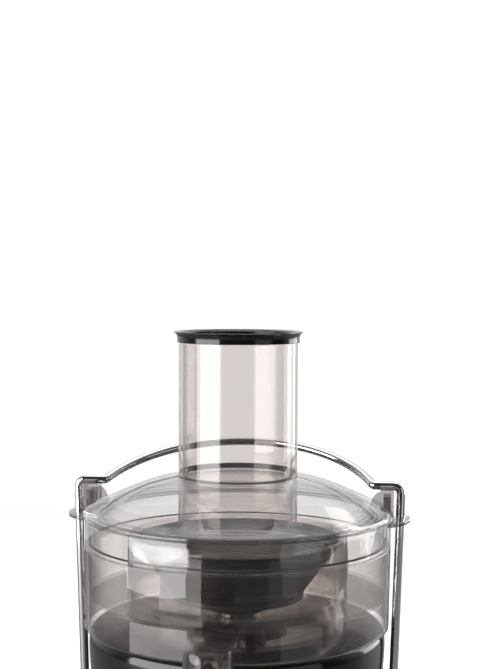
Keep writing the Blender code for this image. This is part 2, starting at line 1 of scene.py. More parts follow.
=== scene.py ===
"""Fine surfaces and finishes for a centrifugal juicer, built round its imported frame.

Metres, +Z up, with the front towards -Y. Each piece is drawn round the spindle and is then
set over the frame's own spindle, so that its object stays at the origin.
"""

import math

import bmesh
import bpy
from mathutils import Matrix, Vector


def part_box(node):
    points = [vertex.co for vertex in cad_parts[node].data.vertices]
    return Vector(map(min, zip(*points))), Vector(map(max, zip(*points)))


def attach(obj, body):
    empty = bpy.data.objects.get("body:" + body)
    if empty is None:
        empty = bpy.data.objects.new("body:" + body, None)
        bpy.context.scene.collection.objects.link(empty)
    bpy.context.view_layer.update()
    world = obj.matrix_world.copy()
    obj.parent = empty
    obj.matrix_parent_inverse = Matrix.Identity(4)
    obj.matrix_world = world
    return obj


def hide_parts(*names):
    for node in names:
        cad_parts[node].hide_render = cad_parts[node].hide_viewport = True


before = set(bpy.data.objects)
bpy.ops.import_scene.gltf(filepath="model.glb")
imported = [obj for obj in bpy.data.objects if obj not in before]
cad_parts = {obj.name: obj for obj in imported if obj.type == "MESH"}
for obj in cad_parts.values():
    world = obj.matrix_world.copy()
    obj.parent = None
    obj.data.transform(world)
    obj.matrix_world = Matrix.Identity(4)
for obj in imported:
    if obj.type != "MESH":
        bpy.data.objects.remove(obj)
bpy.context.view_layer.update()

bl_info = {
    "name": "Centrifugal juicer",
    "version": (1, 0, 0),
    "blender": (4, 5, 0),
    "location": "View3D > Sidebar > Juicer",
    "description": "Makes the fine surfaces of a centrifugal juicer round its frame",
    "category": "Object",
}


def middle(node):
    low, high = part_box(node)
    return (low + high) / 2


def half_width(node):
    low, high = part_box(node)
    return (high.x - low.x) / 2


SPINDLE = Vector((middle("feed_tube").x, middle("feed_tube").y, 0))
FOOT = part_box("lid")[1].z - 0.0006           # where the tube meets the cone of the lid
BOWL_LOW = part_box("bowl")[0].z
PIVOT = middle("bail_boss_right") - SPINDLE
DIAL = middle("dial_bezel") - SPINDLE
SIDES = 144                                  # sides of a large turned piece
SMALL_SIDES = 64
BOSS_FOOT = 0.0912                           # where a boss starts, from the spindle
BOSS_RADIUS = 0.0150
GAP = 0.0003


# Outlines -----------------------------------------------------------------

def eased(outline, radius, steps=4, closed=True):
    """Round the corners of an outline, each as far as its sides allow."""
    path = []
    count = len(outline)
    for k in range(count):
        corner = Vector(outline[k])
        before = Vector(outline[k - 1]) - corner
        after = Vector(outline[(k + 1) % count]) - corner
        half = before.angle(after) / 2
        if half > math.radians(86) or (not closed and k in (0, count - 1)):
            path.append(corner)
            continue
        setback = min(radius / math.tan(half), before.length * 0.45, after.length * 0.45)
        start = corner + before.normalized() * setback
        end = corner + after.normalized() * setback
        for step in range(steps + 1):
            t = step / steps
            path.append(start.lerp(corner, t).lerp(corner.lerp(end, t), t))
    return path


def flowing(points, steps=5):
    """A smooth open curve through its points."""
    points = [Vector(point) for point in points]
    ends = [2 * points[0] - points[1], *points, 2 * points[-1] - points[-2]]
    path = []
    for a, b, c, d in zip(ends, ends[1:], ends[2:], ends[3:]):
        for step in range(steps):
            t = step / steps
            path.append(0.5 * (2 * b + (c - a) * t + (2 * a - 5 * b + 4 * c - d) * t ** 2
                               + (3 * b - a - 3 * c + d) * t ** 3))
    return path + [points[-1]]


def lifted(outline, rise):
    return [(point[0], point[1] + rise) for point in outline]


def ring_of(inner, outer, low, high):
    return [(inner, low), (outer, low), (outer, high), (inner, high)]


def rod_of(radius, low, high):
    return [(0, low), (radius, low), (radius, high), (0, high)]


def arc(radius, start, end, steps):
    angles = [math.radians(start + (end - start) * k / steps) for k in range(steps + 1)]
    return [(radius * math.cos(a), radius * math.sin(a)) for a in angles]


# Solids -------------------------------------------------------------------

def new_object(name, bm, sharp=35):
    """A bmesh as an object with outward faces, smooth except at its sharp edges."""
    bmesh.ops.remove_doubles(bm, verts=bm.verts, dist=1e-7)
    bmesh.ops.recalc_face_normals(bm, faces=bm.faces)
    mesh = bpy.data.meshes.new(name)
    bm.to_mesh(mesh)
    bm.free()
    shape = bpy.data.objects.new(name, mesh)
    bpy.context.collection.objects.link(shape)
    mesh.shade_smooth()
    mesh.set_sharp_from_angle(angle=math.radians(sharp))
    return shape


def turned(name, section, sides=SIDES, place=None):
    """Turn a closed section of (radius, height) points round the Z axis."""
    bm = bmesh.new()
    rings = []
    for radius, height in section:
        if radius < 1e-6:
            rings.append([bm.verts.new((0, 0, height))] * sides)
            continue
        angles = [2 * math.pi * k / sides for k in range(sides)]
        rings.append([bm.verts.new((radius * math.cos(a), radius * math.sin(a), height))
                      for a in angles])
    for ring, following in zip(rings, rings[1:] + rings[:1]):
        for k in range(sides):
            step = (k + 1) % sides
            corners = list(dict.fromkeys((ring[k], ring[step], following[step], following[k])))
            if len(corners) > 2:
                bm.faces.new(corners)
    if place is not None:
        bmesh.ops.transform(bm, matrix=place, verts=bm.verts)
    return new_object(name, bm)


def prism(name, outline, low, high, place=None):
    """Extrude a closed (x, y) outline upwards. high may be a rule of x and y."""
    top = high if callable(high) else lambda x, y: high
    bm = bmesh.new()
    below = [bm.verts.new((point[0], point[1], low)) for point in outline]
    above = [bm.verts.new((point[0], point[1], top(*point))) for point in outline]
    bm.faces.new(below)
    bm.faces.new(above)
    for k in range(len(outline)):
        step = (k + 1) % len(outline)
        bm.faces.new((below[k], below[step], above[step], above[k]))
    if place is not None:
        bmesh.ops.transform(bm, matrix=place, verts=bm.verts)
    return new_object(name, bm)


def block(name, low, high):
    outline = [(low[0], low[1]), (high[0], low[1]), (high[0], high[1]), (low[0], high[1])]
    return prism(name, outline, low[2], high[2])


def settle(shape, sharp=35):
    """Apply the modifiers of a shape to its own mesh."""
    graph = bpy.context.evaluated_depsgraph_get()
    mesh = bpy.data.meshes.new_from_object(shape.evaluated_get(graph))
    shape.modifiers.clear()
    shape.data = mesh
    mesh.name = shape.name
    mesh.shade_smooth()
    mesh.set_sharp_from_angle(angle=math.radians(sharp))
    return shape


def combine(shape, tool, operation):
    change = shape.modifiers.new("change", "BOOLEAN")
    change.operation = operation
    change.object = tool
    settle(shape)
    bpy.data.objects.remove(tool, do_unlink=True)
    return shape


def cut(shape, tool):
    return combine(shape, tool, "DIFFERENCE")


def join(shape, tool):
    return combine(shape, tool, "UNION")


def soften(shape, width, segments=3):
    """Round the edges of a shape, as a mould's radius does."""
    change = shape.modifiers.new("edges", "BEVEL")
    change.width = width
    change.segments = segments
    change.limit_method = "ANGLE"
    change.angle_limit = math.radians(40)
    change.use_clamp_overlap = True
    change.harden_normals = False
    return settle(shape)


def along_x(place):
    """Frame whose Z axis points along +X."""
    return Matrix.Translation(place) @ Matrix.Rotation(math.pi / 2, 4, "Y")


def along_front(place):
    """Frame whose Z axis points forwards, along -Y."""
    return Matrix.Translation(place) @ Matrix.Rotation(math.pi / 2, 4, "X")


def fine(name):
    """A finish made here, which has its own name beside the frame's plain materials."""
    return bpy.data.materials["fine_" + name]


def complete(shape, finish, body, *nodes):
    """Set a piece over the spindle, give it its finish and fix it to its body."""
    shape.data.transform(Matrix.Translation(SPINDLE))
    shape.data.materials.clear()
    shape.data.materials.append(fine(finish))
    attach(shape, body)
    if nodes:
        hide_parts(*nodes)
    return shape


# Node trees ---------------------------------------------------------------

class Value:
    """A number carried by a node's socket, used in ordinary expressions."""

    def __init__(self, tree, socket):
        self.tree = tree
        self.socket = socket

    def maths(self, operation, first, second=0.0):
        node = self.tree.add("ShaderNodeMath", {"operation": operation}, {0: first, 1: second})
        return Value(self.tree, node.outputs[0])

    def __add__(self, other):
        return self.maths("ADD", self, other)

    def __radd__(self, other):
        return self.maths("ADD", other, self)

    def __sub__(self, other):
        return self.maths("SUBTRACT", self, other)

    def __rsub__(self, other):
        return self.maths("SUBTRACT", other, self)

    def __mul__(self, other):
        return self.maths("MULTIPLY", self, other)

    def __rmul__(self, other):
        return self.maths("MULTIPLY", other, self)

    def __truediv__(self, other):
        return self.maths("DIVIDE", self, other)

    def __pow__(self, other):
        return self.maths("POWER", self, other)

    def __mod__(self, other):
        return self.maths("FLOORED_MODULO", self, other)

    def __gt__(self, other):
        return self.maths("GREATER_THAN", self, other)

    def __lt__(self, other):
        return self.maths("LESS_THAN", self, other)

    def floor(self):
        return self.maths("FLOOR", self)

    def cos(self):
        return self.maths("COSINE", self)

    def sin(self):
        return self.maths("SINE", self)


class Tree:
    """A node tree with one method that adds any node."""

    def __init__(self, tree):
        self.tree = tree

    def add(self, kind, settings=None, sockets=None):
        """Add a node: its settings first, then the values or links of its sockets."""
        node = self.tree.nodes.new(kind)
        for name, value in (settings or {}).items():
            if name == "stops":
                ramp = node.color_ramp
                for k, (place, colour) in enumerate(value):
                    stop = ramp.elements[k] if k < 2 else ramp.elements.new(place)
                    stop.position = place
                    stop.color = (*colour, 1.0)
            else:
                setattr(node, name, value)
        for name, value in (sockets or {}).items():
            socket = self.find(node.inputs, name)
            if isinstance(value, Value):
                value = value.socket
            if isinstance(value, bpy.types.NodeSocket):
                self.tree.links.new(value, socket)
            elif getattr(socket, "type", "") == "RGBA" and len(value) == 3:
                socket.default_value = (*value, 1.0)
            else:
                socket.default_value = value
        return node

    @staticmethod
    def find(sockets, name):
        if isinstance(name, int):
            return sockets[name]
        return next((s for s in sockets if s.identifier == name), None) or sockets[name]

    def value(self, socket):
        return Value(self, socket)


class Finish(Tree):
    """A material whose surface is worked out from the place on the piece."""

    def __init__(self, name):
        name = "fine_" + name
        material = bpy.data.materials.get(name) or bpy.data.materials.new(name)
        material.use_nodes = True
        super().__init__(material.node_tree)
        self.material = material
        self.tree.nodes.clear()
        self.output = self.add("ShaderNodeOutputMaterial")
        self.place = self.add("ShaderNodeTexCoord").outputs["Object"]

    def stretched(self, scale, centre=(0, 0, 0)):
        """Object coordinates about a centre, stretched by a scale on each axis."""
        moved = self.add("ShaderNodeVectorMath", {"operation": "SUBTRACT"},
                         {0: self.place, 1: centre})
        node = self.add("ShaderNodeVectorMath", {"operation": "MULTIPLY"},
                        {0: moved.outputs[0], 1: scale})
        return node.outputs[0]

    def noise(self, scale, detail=2.0, place=None, distortion=0.0):
        node = self.add("ShaderNodeTexNoise", {"noise_dimensions": "3D"},
                        {"Vector": place or self.place, "Scale": scale, "Detail": detail,
                         "Distortion": distortion})
        return self.value(node.outputs["Fac"])

    def rings(self, scale, centre, flat):
        """Fine grooves at steady distances from an axis. flat is 0 along that axis, 1 across."""
        length = self.add("ShaderNodeVectorMath", {"operation": "LENGTH"},
                          {0: self.stretched(flat, centre)})
        node = self.add("ShaderNodeTexNoise", {"noise_dimensions": "1D"},
                        {"W": self.value(length.outputs["Value"]) * scale, "Scale": 1.0,
                         "Detail": 3.0})
        return self.value(node.outputs["Fac"])

    def blend(self, share, first, second):
        node = self.add("ShaderNodeMix", {"data_type": "RGBA"},
                        {"Factor_Float": share, "A_Color": first, "B_Color": second})
        return self.find(node.outputs, "Result_Color")

    def bump(self, height, strength, distance):
        node = self.add("ShaderNodeBump", {},
                        {"Height": height, "Strength": strength, "Distance": distance})
        return node.outputs["Normal"]

    def facing(self):
        """0 where the surface faces the viewer, 1 where it is seen edge on."""
        node = self.add("ShaderNodeLayerWeight", {}, {"Blend": 0.5})
        return self.value(node.outputs["Facing"])

    def principled(self, **sockets):
        names = {name.replace("_", " ").title().replace("Ior", "IOR"): value
                 for name, value in sockets.items()}
        return self.add("ShaderNodeBsdfPrincipled", {}, names).outputs[0]

    def mixed(self, share, first, second):
        return self.add("ShaderNodeMixShader", {}, {0: share, 1: first, 2: second}).outputs[0]

    def close(self, shader):
        self.tree.links.new(shader, self.output.inputs["Surface"])
        return self.material


class Pattern(Tree):
    """A Geometry Nodes tree with named inputs, which makes what repeats or follows a path."""

    KINDS = {int: "NodeSocketInt", float: "NodeSocketFloat"}

    def __init__(self, name, **sizes):
        super().__init__(bpy.data.node_groups.new(name, "GeometryNodeTree"))
        face = self.tree.interface
        face.new_socket(name="Geometry", in_out="INPUT", socket_type="NodeSocketGeometry")
        for label, size in sizes.items():
            socket = face.new_socket(name=label, in_out="INPUT",
                                     socket_type=self.KINDS[type(size)])
            socket.default_value = size
        face.new_socket(name="Geometry", in_out="OUTPUT", socket_type="NodeSocketGeometry")
        self.sizes = sizes
        self.given = self.add("NodeGroupInput")

    def size(self, label):
        return self.value(self.given.outputs[label])

    def vector(self, x, y, z):
        return self.add("ShaderNodeCombineXYZ", {}, {0: x, 1: y, 2: z}).outputs[0]

    def close(self, geometry, material):
        whole = self.add("GeometryNodeRealizeInstances", {}, {"Geometry": geometry})
        dressed = self.add("GeometryNodeSetMaterial", {},
                           {"Geometry": whole.outputs[0],
                            "Material": fine(material)})
        self.add("NodeGroupOutput", {}, {"Geometry": dressed.outputs[0]})
        return self

    def make(self, name, mesh=None):
        """Run the tree once on a mesh, and keep the result as a plain mesh."""
        shape = bpy.data.objects.new(name, mesh or bpy.data.meshes.new(name))
        bpy.context.collection.objects.link(shape)
        change = shape.modifiers.new("pattern", "NODES")
        change.node_group = self.tree
        for socket in self.tree.interface.items_tree:
            if socket.in_out == "INPUT" and socket.name in self.sizes:
                change[socket.identifier] = self.sizes[socket.name]
        settle(shape)
        if not shape.data.polygons:
            raise RuntimeError(f"{name} came out empty")
        return shape


def wire(name, path, size, sides, finish):
    """A round rod of half thickness size along an open path, with flat ends."""
    line = bpy.data.meshes.new(name + "_line")
    line.from_pydata(path, [(k, k + 1) for k in range(len(path) - 1)], [])
    tree = Pattern(name, radius=size, sides=sides)
    curve = tree.add("GeometryNodeMeshToCurve", {}, {"Mesh": tree.given.outputs["Geometry"]})
    ring = tree.add("GeometryNodeCurvePrimitiveCircle", {"mode": "RADIUS"},
                    {"Resolution": tree.size("sides"), "Radius": tree.size("radius")})
    rod = tree.add("GeometryNodeCurveToMesh", {},
                   {"Curve": curve.outputs[0], "Profile Curve": ring.outputs[0],
                    "Fill Caps": True})
    return tree.close(rod.outputs[0], finish).make(name, line)


# Finishes -----------------------------------------------------------------

def smoky_plastic(name, look, tint=1.0, density=0.0, edges=1.0, painted_shade_bands=()):
    """Clear tinted plastic: light passes, edges darken, and the skin mirrors like glass.

    tint and edges are its shares of the clear tint and of the edge darkness, and density its
    share of solid colour. Each of the bands is a line of painted shade, standing in for the dark
    line that refraction and total internal reflection show where the wall turns: the heights it
    lies between, whether it is only on the back half, and its strength.
    """
    finish = Finish(name)
    facing = finish.facing()
    swirl = finish.noise(14.0, 3.0)
    scuffs = finish.noise(90.0, 4.0)
    passed = [1.0 - tint * (1.0 - c) for c in look.clear_tint]
    clear = finish.add("ShaderNodeBsdfTransparent", {}, {"Color": passed}).outputs[0]
    mass = finish.principled(
        base_color=finish.blend(swirl, look.clear_mass, [0.8 * c for c in look.clear_mass]),
        roughness=0.25)
    # Darker edge on: partly the longer path through the tinted wall, partly painted shade standing
    # in for the dark edges that refraction shows.
    dark = (0.35 * facing ** 2 + facing ** 7) * (edges * look.edge_darkness)
    body = density + 0.004 + 0.008 * swirl + dark
    place = finish.add("ShaderNodeSeparateXYZ", {}, {0: finish.place})
    back, height = finish.value(place.outputs[1]), finish.value(place.outputs[2])
    # Each band adds painted shade to the body: a dark line standing in for what refraction and
    # total internal reflection show at the foot and the flange.
    for low, high, behind, strength in painted_shade_bands:
        line = (height > low) * (height < high) * strength
        body = body + (line * (back > SPINDLE.y) if behind else line)
    wall = finish.mixed(body, clear, mass)
    skin = finish.add("ShaderNodeBsdfGlossy", {"distribution": "GGX"},
                      {"Color": (1.0, 1.0, 1.0), "Roughness": 0.004 + 0.02 * scuffs}).outputs[0]
    return finish.close(finish.mixed(0.04 + 0.9 * facing ** 5, wall, skin))


def black_gloss(look):
    finish = Finish("black_gloss")
    smudge = finish.noise(26.0, 4.0, distortion=0.6)
    peel = finish.noise(420.0, 1.0)
    shader = finish.principled(
        base_color=finish.blend(smudge, look.black, [2.0 * c for c in look.black]),
        roughness=0.06 + 0.10 * smudge, coat_weight=0.15, coat_roughness=0.05,
        normal=finish.bump(peel, 0.05, 0.0002))
    return finish.close(shader)


def black_matte(look):
    finish = Finish("black_matte")
    grain = finish.noise(1500.0, 2.0)
    cloud = finish.noise(35.0, 3.0)
    shader = finish.principled(
        base_color=finish.blend(cloud, look.black, [3.0 * c for c in look.black]),
        roughness=0.42 + 0.2 * cloud, normal=finish.bump(grain, 0.25, 0.0002))
    return finish.close(shader)


def chrome(look):
    finish = Finish("chrome_wire")
    haze = finish.noise(60.0, 3.0)
    shader = finish.principled(
        base_color=finish.blend(haze, look.chrome, [0.93 * c for c in look.chrome]),
        metallic=1.0, roughness=0.03 + 0.06 * haze,
        normal=finish.bump(finish.noise(300.0, 1.0), 0.03, 0.0001))
    return finish.close(shader)


def brushed_steel(look):
    finish = Finish("brushed_steel")
    streak = finish.noise(1.0, 4.0, place=finish.stretched((9.0, 9.0, 1700.0)))
    broad = finish.noise(20.0, 2.0)
    shader = finish.principled(
        base_color=finish.blend(streak, look.steel, [0.78 * c for c in look.steel]),
        metallic=1.0, roughness=0.24 + 0.14 * streak + 0.05 * broad,
        normal=finish.bump(streak, 0.12, 0.0002))
    return finish.close(shader)


def ringed_steel(name, look, centre, flat, scale=2600.0):
    """Steel faced on a lathe, with fine grooves round its own axis."""
    finish = Finish(name)
    groove = finish.rings(scale, centre, flat)
    shader = finish.principled(
        base_color=finish.blend(groove, look.steel, [0.8 * c for c in look.steel]),
        metallic=1.0, roughness=0.16 + 0.16 * groove,
        normal=finish.bump(groove, 0.15, 0.0002))
    return finish.close(shader)


def mesh_steel(look):
    finish = Finish("mesh_steel")
    stain = finish.noise(140.0, 3.0)
    shader = finish.principled(
        base_color=finish.blend(stain, look.sieve, [0.6 * c for c in look.sieve]),
        metallic=1.0, roughness=0.3 + 0.2 * stain)
    return finish.close(shader)


def core_iron(_look):
    """Thin iron sheets stacked along the shaft."""
    finish = Finish("core_iron")
    sheets = finish.noise(1.0, 1.0, place=finish.stretched((3.0, 3.0, 2200.0)))
    rust = finish.noise(70.0, 4.0)
    shader = finish.principled(
        base_color=finish.blend(rust, (0.30, 0.29, 0.28), (0.20, 0.16, 0.13)),
        metallic=0.9, roughness=0.4 + 0.2 * sheets, normal=finish.bump(sheets, 0.4, 0.0003))
    return finish.close(shader)


def copper_wire(_look):
    finish = Finish("copper")
    turns = finish.noise(1.0, 1.0, place=finish.stretched((1400.0, 240.0, 1400.0)))
    shader = finish.principled(
        base_color=finish.blend(turns, (0.60, 0.24, 0.10), (0.80, 0.42, 0.22)),
        metallic=1.0, roughness=0.28 + 0.15 * turns, normal=finish.bump(turns, 0.5, 0.0004))
    return finish.close(shader)


def grey_rubber(look):
    finish = Finish("grey_rubber")
    grain = finish.noise(900.0, 3.0)
    dust = finish.noise(50.0, 4.0)
    shader = finish.principled(
        base_color=finish.blend(dust, look.rubber, [1.6 * c for c in look.rubber]),
        roughness=0.7 + 0.2 * dust, normal=finish.bump(grain, 0.35, 0.0002))
    return finish.close(shader)


def carbon(_look):
    finish = Finish("carbon")
    grain = finish.noise(1200.0, 3.0)
    shader = finish.principled(
        base_color=finish.blend(grain, (0.03, 0.03, 0.032), (0.09, 0.09, 0.09)),
        roughness=0.6 + 0.2 * grain, normal=finish.bump(grain, 0.3, 0.0002))
    return finish.close(shader)


def board_green(_look):
    """Circuit board with darker lacquer between its copper tracks."""
    finish = Finish("board_green")
    cells = finish.add("ShaderNodeTexVoronoi", {"distance": "MANHATTAN"},
                       {"Vector": finish.place, "Scale": 260.0})
    track = finish.value(cells.outputs["Distance"]) > 0.55
    shader = finish.principled(
        base_color=finish.blend(track, (0.015, 0.11, 0.05), (0.05, 0.24, 0.11)),
        roughness=0.35 + 0.1 * finish.noise(300.0), normal=finish.bump(track, 0.3, 0.0001))
    return finish.close(shader)


def mark_white(_look):
    finish = Finish("mark_white")
    wear = finish.noise(700.0, 3.0)
    shader = finish.principled(
        base_color=finish.blend(wear, (0.82, 0.82, 0.80), (0.62, 0.62, 0.60)),
        roughness=0.4 + 0.1 * wear)
    return finish.close(shader)


def floor_white(look):
    """A pale floor, which is dimmer in what the pieces mirror of it."""
    finish = Finish("floor_white")
    cloud = finish.noise(3.0, 3.0)
    shown = finish.principled(
        base_color=finish.blend(cloud, look.floor, [0.985 * c for c in look.floor]),
        roughness=0.5 + 0.1 * cloud, emission_color=(1.0, 1.0, 1.0),
        emission_strength=look.floor_glow)
    mirrored = finish.principled(base_color=look.floor_mirrored, roughness=0.6)
    seen = finish.add("ShaderNodeLightPath").outputs["Is Camera Ray"]
    return finish.close(finish.mixed(seen, mirrored, shown))


# Settings -----------------------------------------------------------------

def length(name, description, default):
    return bpy.props.FloatProperty(name=name, description=description, default=default,
                                   min=0.0, unit="LENGTH", subtype="DISTANCE", precision=5)


def colour(name, description, default):
    return bpy.props.FloatVectorProperty(name=name, description=description, default=default,
                                         size=3, min=0.0, max=1.0, subtype="COLOR")


def count(name, description, default):
    return bpy.props.IntProperty(name=name, description=description, default=default, min=3)


def number(name, description, default):
    return bpy.props.FloatProperty(name=name, description=description, default=default)


def angle(name, description, default):
    return bpy.props.FloatProperty(name=name, description=description,
                                   default=math.radians(default), unit="ROTATION",
                                   subtype="ANGLE")


class JuicerColours(bpy.types.PropertyGroup):
    clear_tint: colour("Clear tint", "Light that one face of the clear plastic lets through",
                       (0.935, 0.918, 0.910))
    clear_mass: colour("Clear mass", "Own colour of the clear plastic", (0.075, 0.062, 0.062))
    edge_darkness: number("Edge darkness", "How dark the plastic turns edge on", 0.9)
    black: colour("Black", "Glossy and matte black plastic", (0.006, 0.006, 0.0065))
    chrome: colour("Chrome", "Plated wire", (0.86, 0.86, 0.87))
    steel: colour("Steel", "Brushed and turned steel", (0.62, 0.62, 0.63))
    sieve: colour("Sieve", "Perforated sheet of the basket", (0.060, 0.056, 0.055))
    rubber: colour("Rubber", "Feet, seals and cord gland", (0.035, 0.035, 0.036))


class JuicerLid(bpy.types.PropertyGroup):
    tube_radius: length("Tube radius", "Outside of the feed tube", half_width("feed_tube"))
    tube_wall: length("Tube wall", "Thickness of the feed tube", 0.0029)
    collar_radius: length("Collar radius", "Outside of the collar's band", 0.0422)
    lip_radius: length("Lip radius", "Outside of the collar's flared lip",
                       half_width("tube_collar"))
    lid_radius: length("Lid radius", "Outside of the lid's flange", half_width("lid"))
    mould_radius: length("Mould radius", "Rounding of the moulded edges", 0.0006)


class JuicerBowl(bpy.types.PropertyGroup):
    bowl_radius: length("Bowl radius", "Outside of the bowl", half_width("bowl"))
    wall: length("Wall", "Thickness of the moulded walls", 0.0024)
    spout_half: length("Spout half width", "Half the width of the juice spout", 0.0145)
    chute_half: length("Chute half width", "Half the width of the pulp chute", 0.058)


class JuicerBasket(bpy.types.PropertyGroup):
    columns: count("Columns", "Holes round the basket", 232)
    rows: count("Rows", "Holes up the basket", 27)
    open_share: number("Open share", "Share of each cell that is open, along a side", 0.55)
    sheet: length("Sheet", "Thickness of the perforated sheet", 0.0004)
    arms: count("Arms", "Curved rows of teeth on the cutting disc", 18)
    teeth: count("Teeth", "Teeth in each row", 11)


class JuicerBail(bpy.types.PropertyGroup):
    wire_radius: length("Wire radius", "Half the thickness of the bail's wire", 0.003)
    leg_top: length("Leg top", "Distance of a leg's top from the middle", 0.112)
    run_drop: length("Run drop", "How far the level run lies under the tube's foot", 0.0045)
    kink: length("Kink", "Where the hoop starts, from the middle", 0.093)
    hoop_back: length("Hoop back", "How far the hoop leans back", 0.058)
    hoop_rise: length("Hoop rise", "How far the hoop rises over the run", 0.0216)


class JuicerBase(bpy.types.PropertyGroup):
    housing_radius: length("Housing radius", "Widest part of the motor housing",
                           half_width("motor_housing"))
    wrap_radius: length("Wrap radius", "Outside of the steel wrap", half_width("steel_wrap"))
    knob_radius: length("Knob radius", "Outside of the speed dial", half_width("speed_dial"))
    grips: count("Grips", "Ribs round the speed dial", 30)
    marks: count("Marks", "Marks round the dial's bezel", 6)


class JuicerContainer(bpy.types.PropertyGroup):
    half: length("Half width", "Half the width of the pulp container",
                 half_width("pulp_container"))
    wall: length("Wall", "Thickness of the container's wall", 0.0024)
    front_radius: length("Front radius", "Hollow front that fits round the motor housing",
                         0.1085)


class JuicerStage(bpy.types.PropertyGroup):
    floor: colour("Floor", "Pale floor", (0.78, 0.78, 0.78))
    floor_mirrored: colour("Floor mirrored", "Floor as the pieces mirror it",
                           (0.22, 0.22, 0.22))
    floor_radius: length("Floor radius", "Reach of the floor round the object", 1.6)
    floor_glow: number("Floor glow", "Light that the floor adds of its own", 0.50)
    distance: length("Camera distance", "From the spindle, over the ground", 0.891)
    height: length("Camera height", "Over the foot of the feed tube", 0.1348)
    azimuth: angle("Azimuth", "Round the object, from its front towards its right", 7.0)
    pitch: angle("Pitch", "How far the camera looks down", 2.4)
    turn: angle("Turn", "How far the camera looks to the right of the spindle", 0.55)
    roll: angle("Roll", "Lean of the camera", 0.28)
    lens: number("Lens", "Focal length for a sensor 36 mm long", 69.96)


GROUPS = {
    "juicer_colours": JuicerColours,
    "juicer_lid": JuicerLid,
    "juicer_bowl": JuicerBowl,
    "juicer_basket": JuicerBasket,
    "juicer_bail": JuicerBail,
    "juicer_base": JuicerBase,
    "juicer_container": JuicerContainer,
    "juicer_stage": JuicerStage,
}


# Operators ----------------------------------------------------------------

class JUICER_OT_finishes(bpy.types.Operator):
    """Make the finishes that the pieces share"""

    bl_idname = "juicer.finishes"
    bl_label = "Finishes"

    def execute(self, context):
        look = context.scene.juicer_colours
        smoky_plastic("smoky_plastic", look)
        smoky_plastic("smoky_thick", look, density=0.30)
        # Painted shade: a dark ring at the tube's foot, and a second one on its back half, standing
        # in for the dark lines that refraction draws where the tube meets the lid.
        painted_foot_shade_lines = ((FOOT, FOOT + 0.0012, False, 0.75), (FOOT + 0.0012, FOOT + 0.0034, True, 0.8))
        smoky_plastic("smoky_tube", look, painted_shade_bands=painted_foot_shade_lines)
        # Painted shade: two dark rings at the lid's flange, standing in for the dark lines that
        # total internal reflection draws at the flange bead.
        painted_flange_shade_lines = ((FOOT - 0.0268, FOOT - 0.0256, False, 0.5),
                        (FOOT - 0.0243, FOOT - 0.0236, False, 0.4))
        smoky_plastic("smoky_lid", look, tint=0.30, edges=0.12, painted_shade_bands=painted_flange_shade_lines)
        for finish in (black_gloss, black_matte, chrome, brushed_steel, mesh_steel, core_iron,
                       copper_wire, grey_rubber, carbon, board_green, mark_white):
            finish(look)
        ringed_steel("blade_steel", look, tuple(SPINDLE), (1, 1, 0))
        ringed_steel("bezel_steel", look, tuple(SPINDLE + DIAL), (1, 0, 1))
        return {"FINISHED"}


class JUICER_OT_feed_tube(bpy.types.Operator):
    """Make the clear feed tube and the flared black collar on its top"""

    bl_idname = "juicer.feed_tube"
    bl_label = "Feed tube and collar"

    def execute(self, context):
        size = context.scene.juicer_lid
        low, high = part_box("feed_tube")
        bore = size.tube_radius - size.tube_wall
        section = eased(ring_of(bore, size.tube_radius, low.z, high.z), size.mould_radius)
        tube = turned("feed_tube_clear", section, 2 * SIDES)
        complete(tube, "smoky_tube", "base", "feed_tube")

        low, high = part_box("tube_collar")
        band, lip = size.collar_radius, size.lip_radius
        flare = flowing([(band, high.z - 0.0042), (band + 0.0003, high.z - 0.0030),
                         (band + 0.0012, high.z - 0.0016), (lip, high.z - 0.0006)])
        crown = flowing([(lip - 0.0007, high.z), (band - 0.0017, high.z - 0.0004),
                         (bore + 0.0002, high.z - 0.0016)])
        inside = [(bore + 0.0002, high.z - 0.0027), (size.tube_radius + GAP, high.z - 0.0027),
                  (size.tube_radius + GAP, low.z)]
        section = eased([*inside, (band, low.z), *flare, *crown], 0.0003, 3)
        collar = turned("collar_flared", section, 2 * SIDES)
        complete(collar, "black_gloss", "base", "tube_collar")
        return {"FINISHED"}


def lid_skin(size):
    """The lid's outer surface, from the tube's foot out to the flange."""
    cone = [(0.0418, 0.0006), (0.0520, -0.0017), (0.0610, -0.0039), (0.0721, -0.0078),
            (0.0829, -0.0125), (0.0942, -0.0176), (0.1021, -0.0212), (0.1046, -0.0225)]
    return flowing(cone, 4) + [(size.lid_radius - 0.0003, -0.0233), (size.lid_radius, -0.0241)]


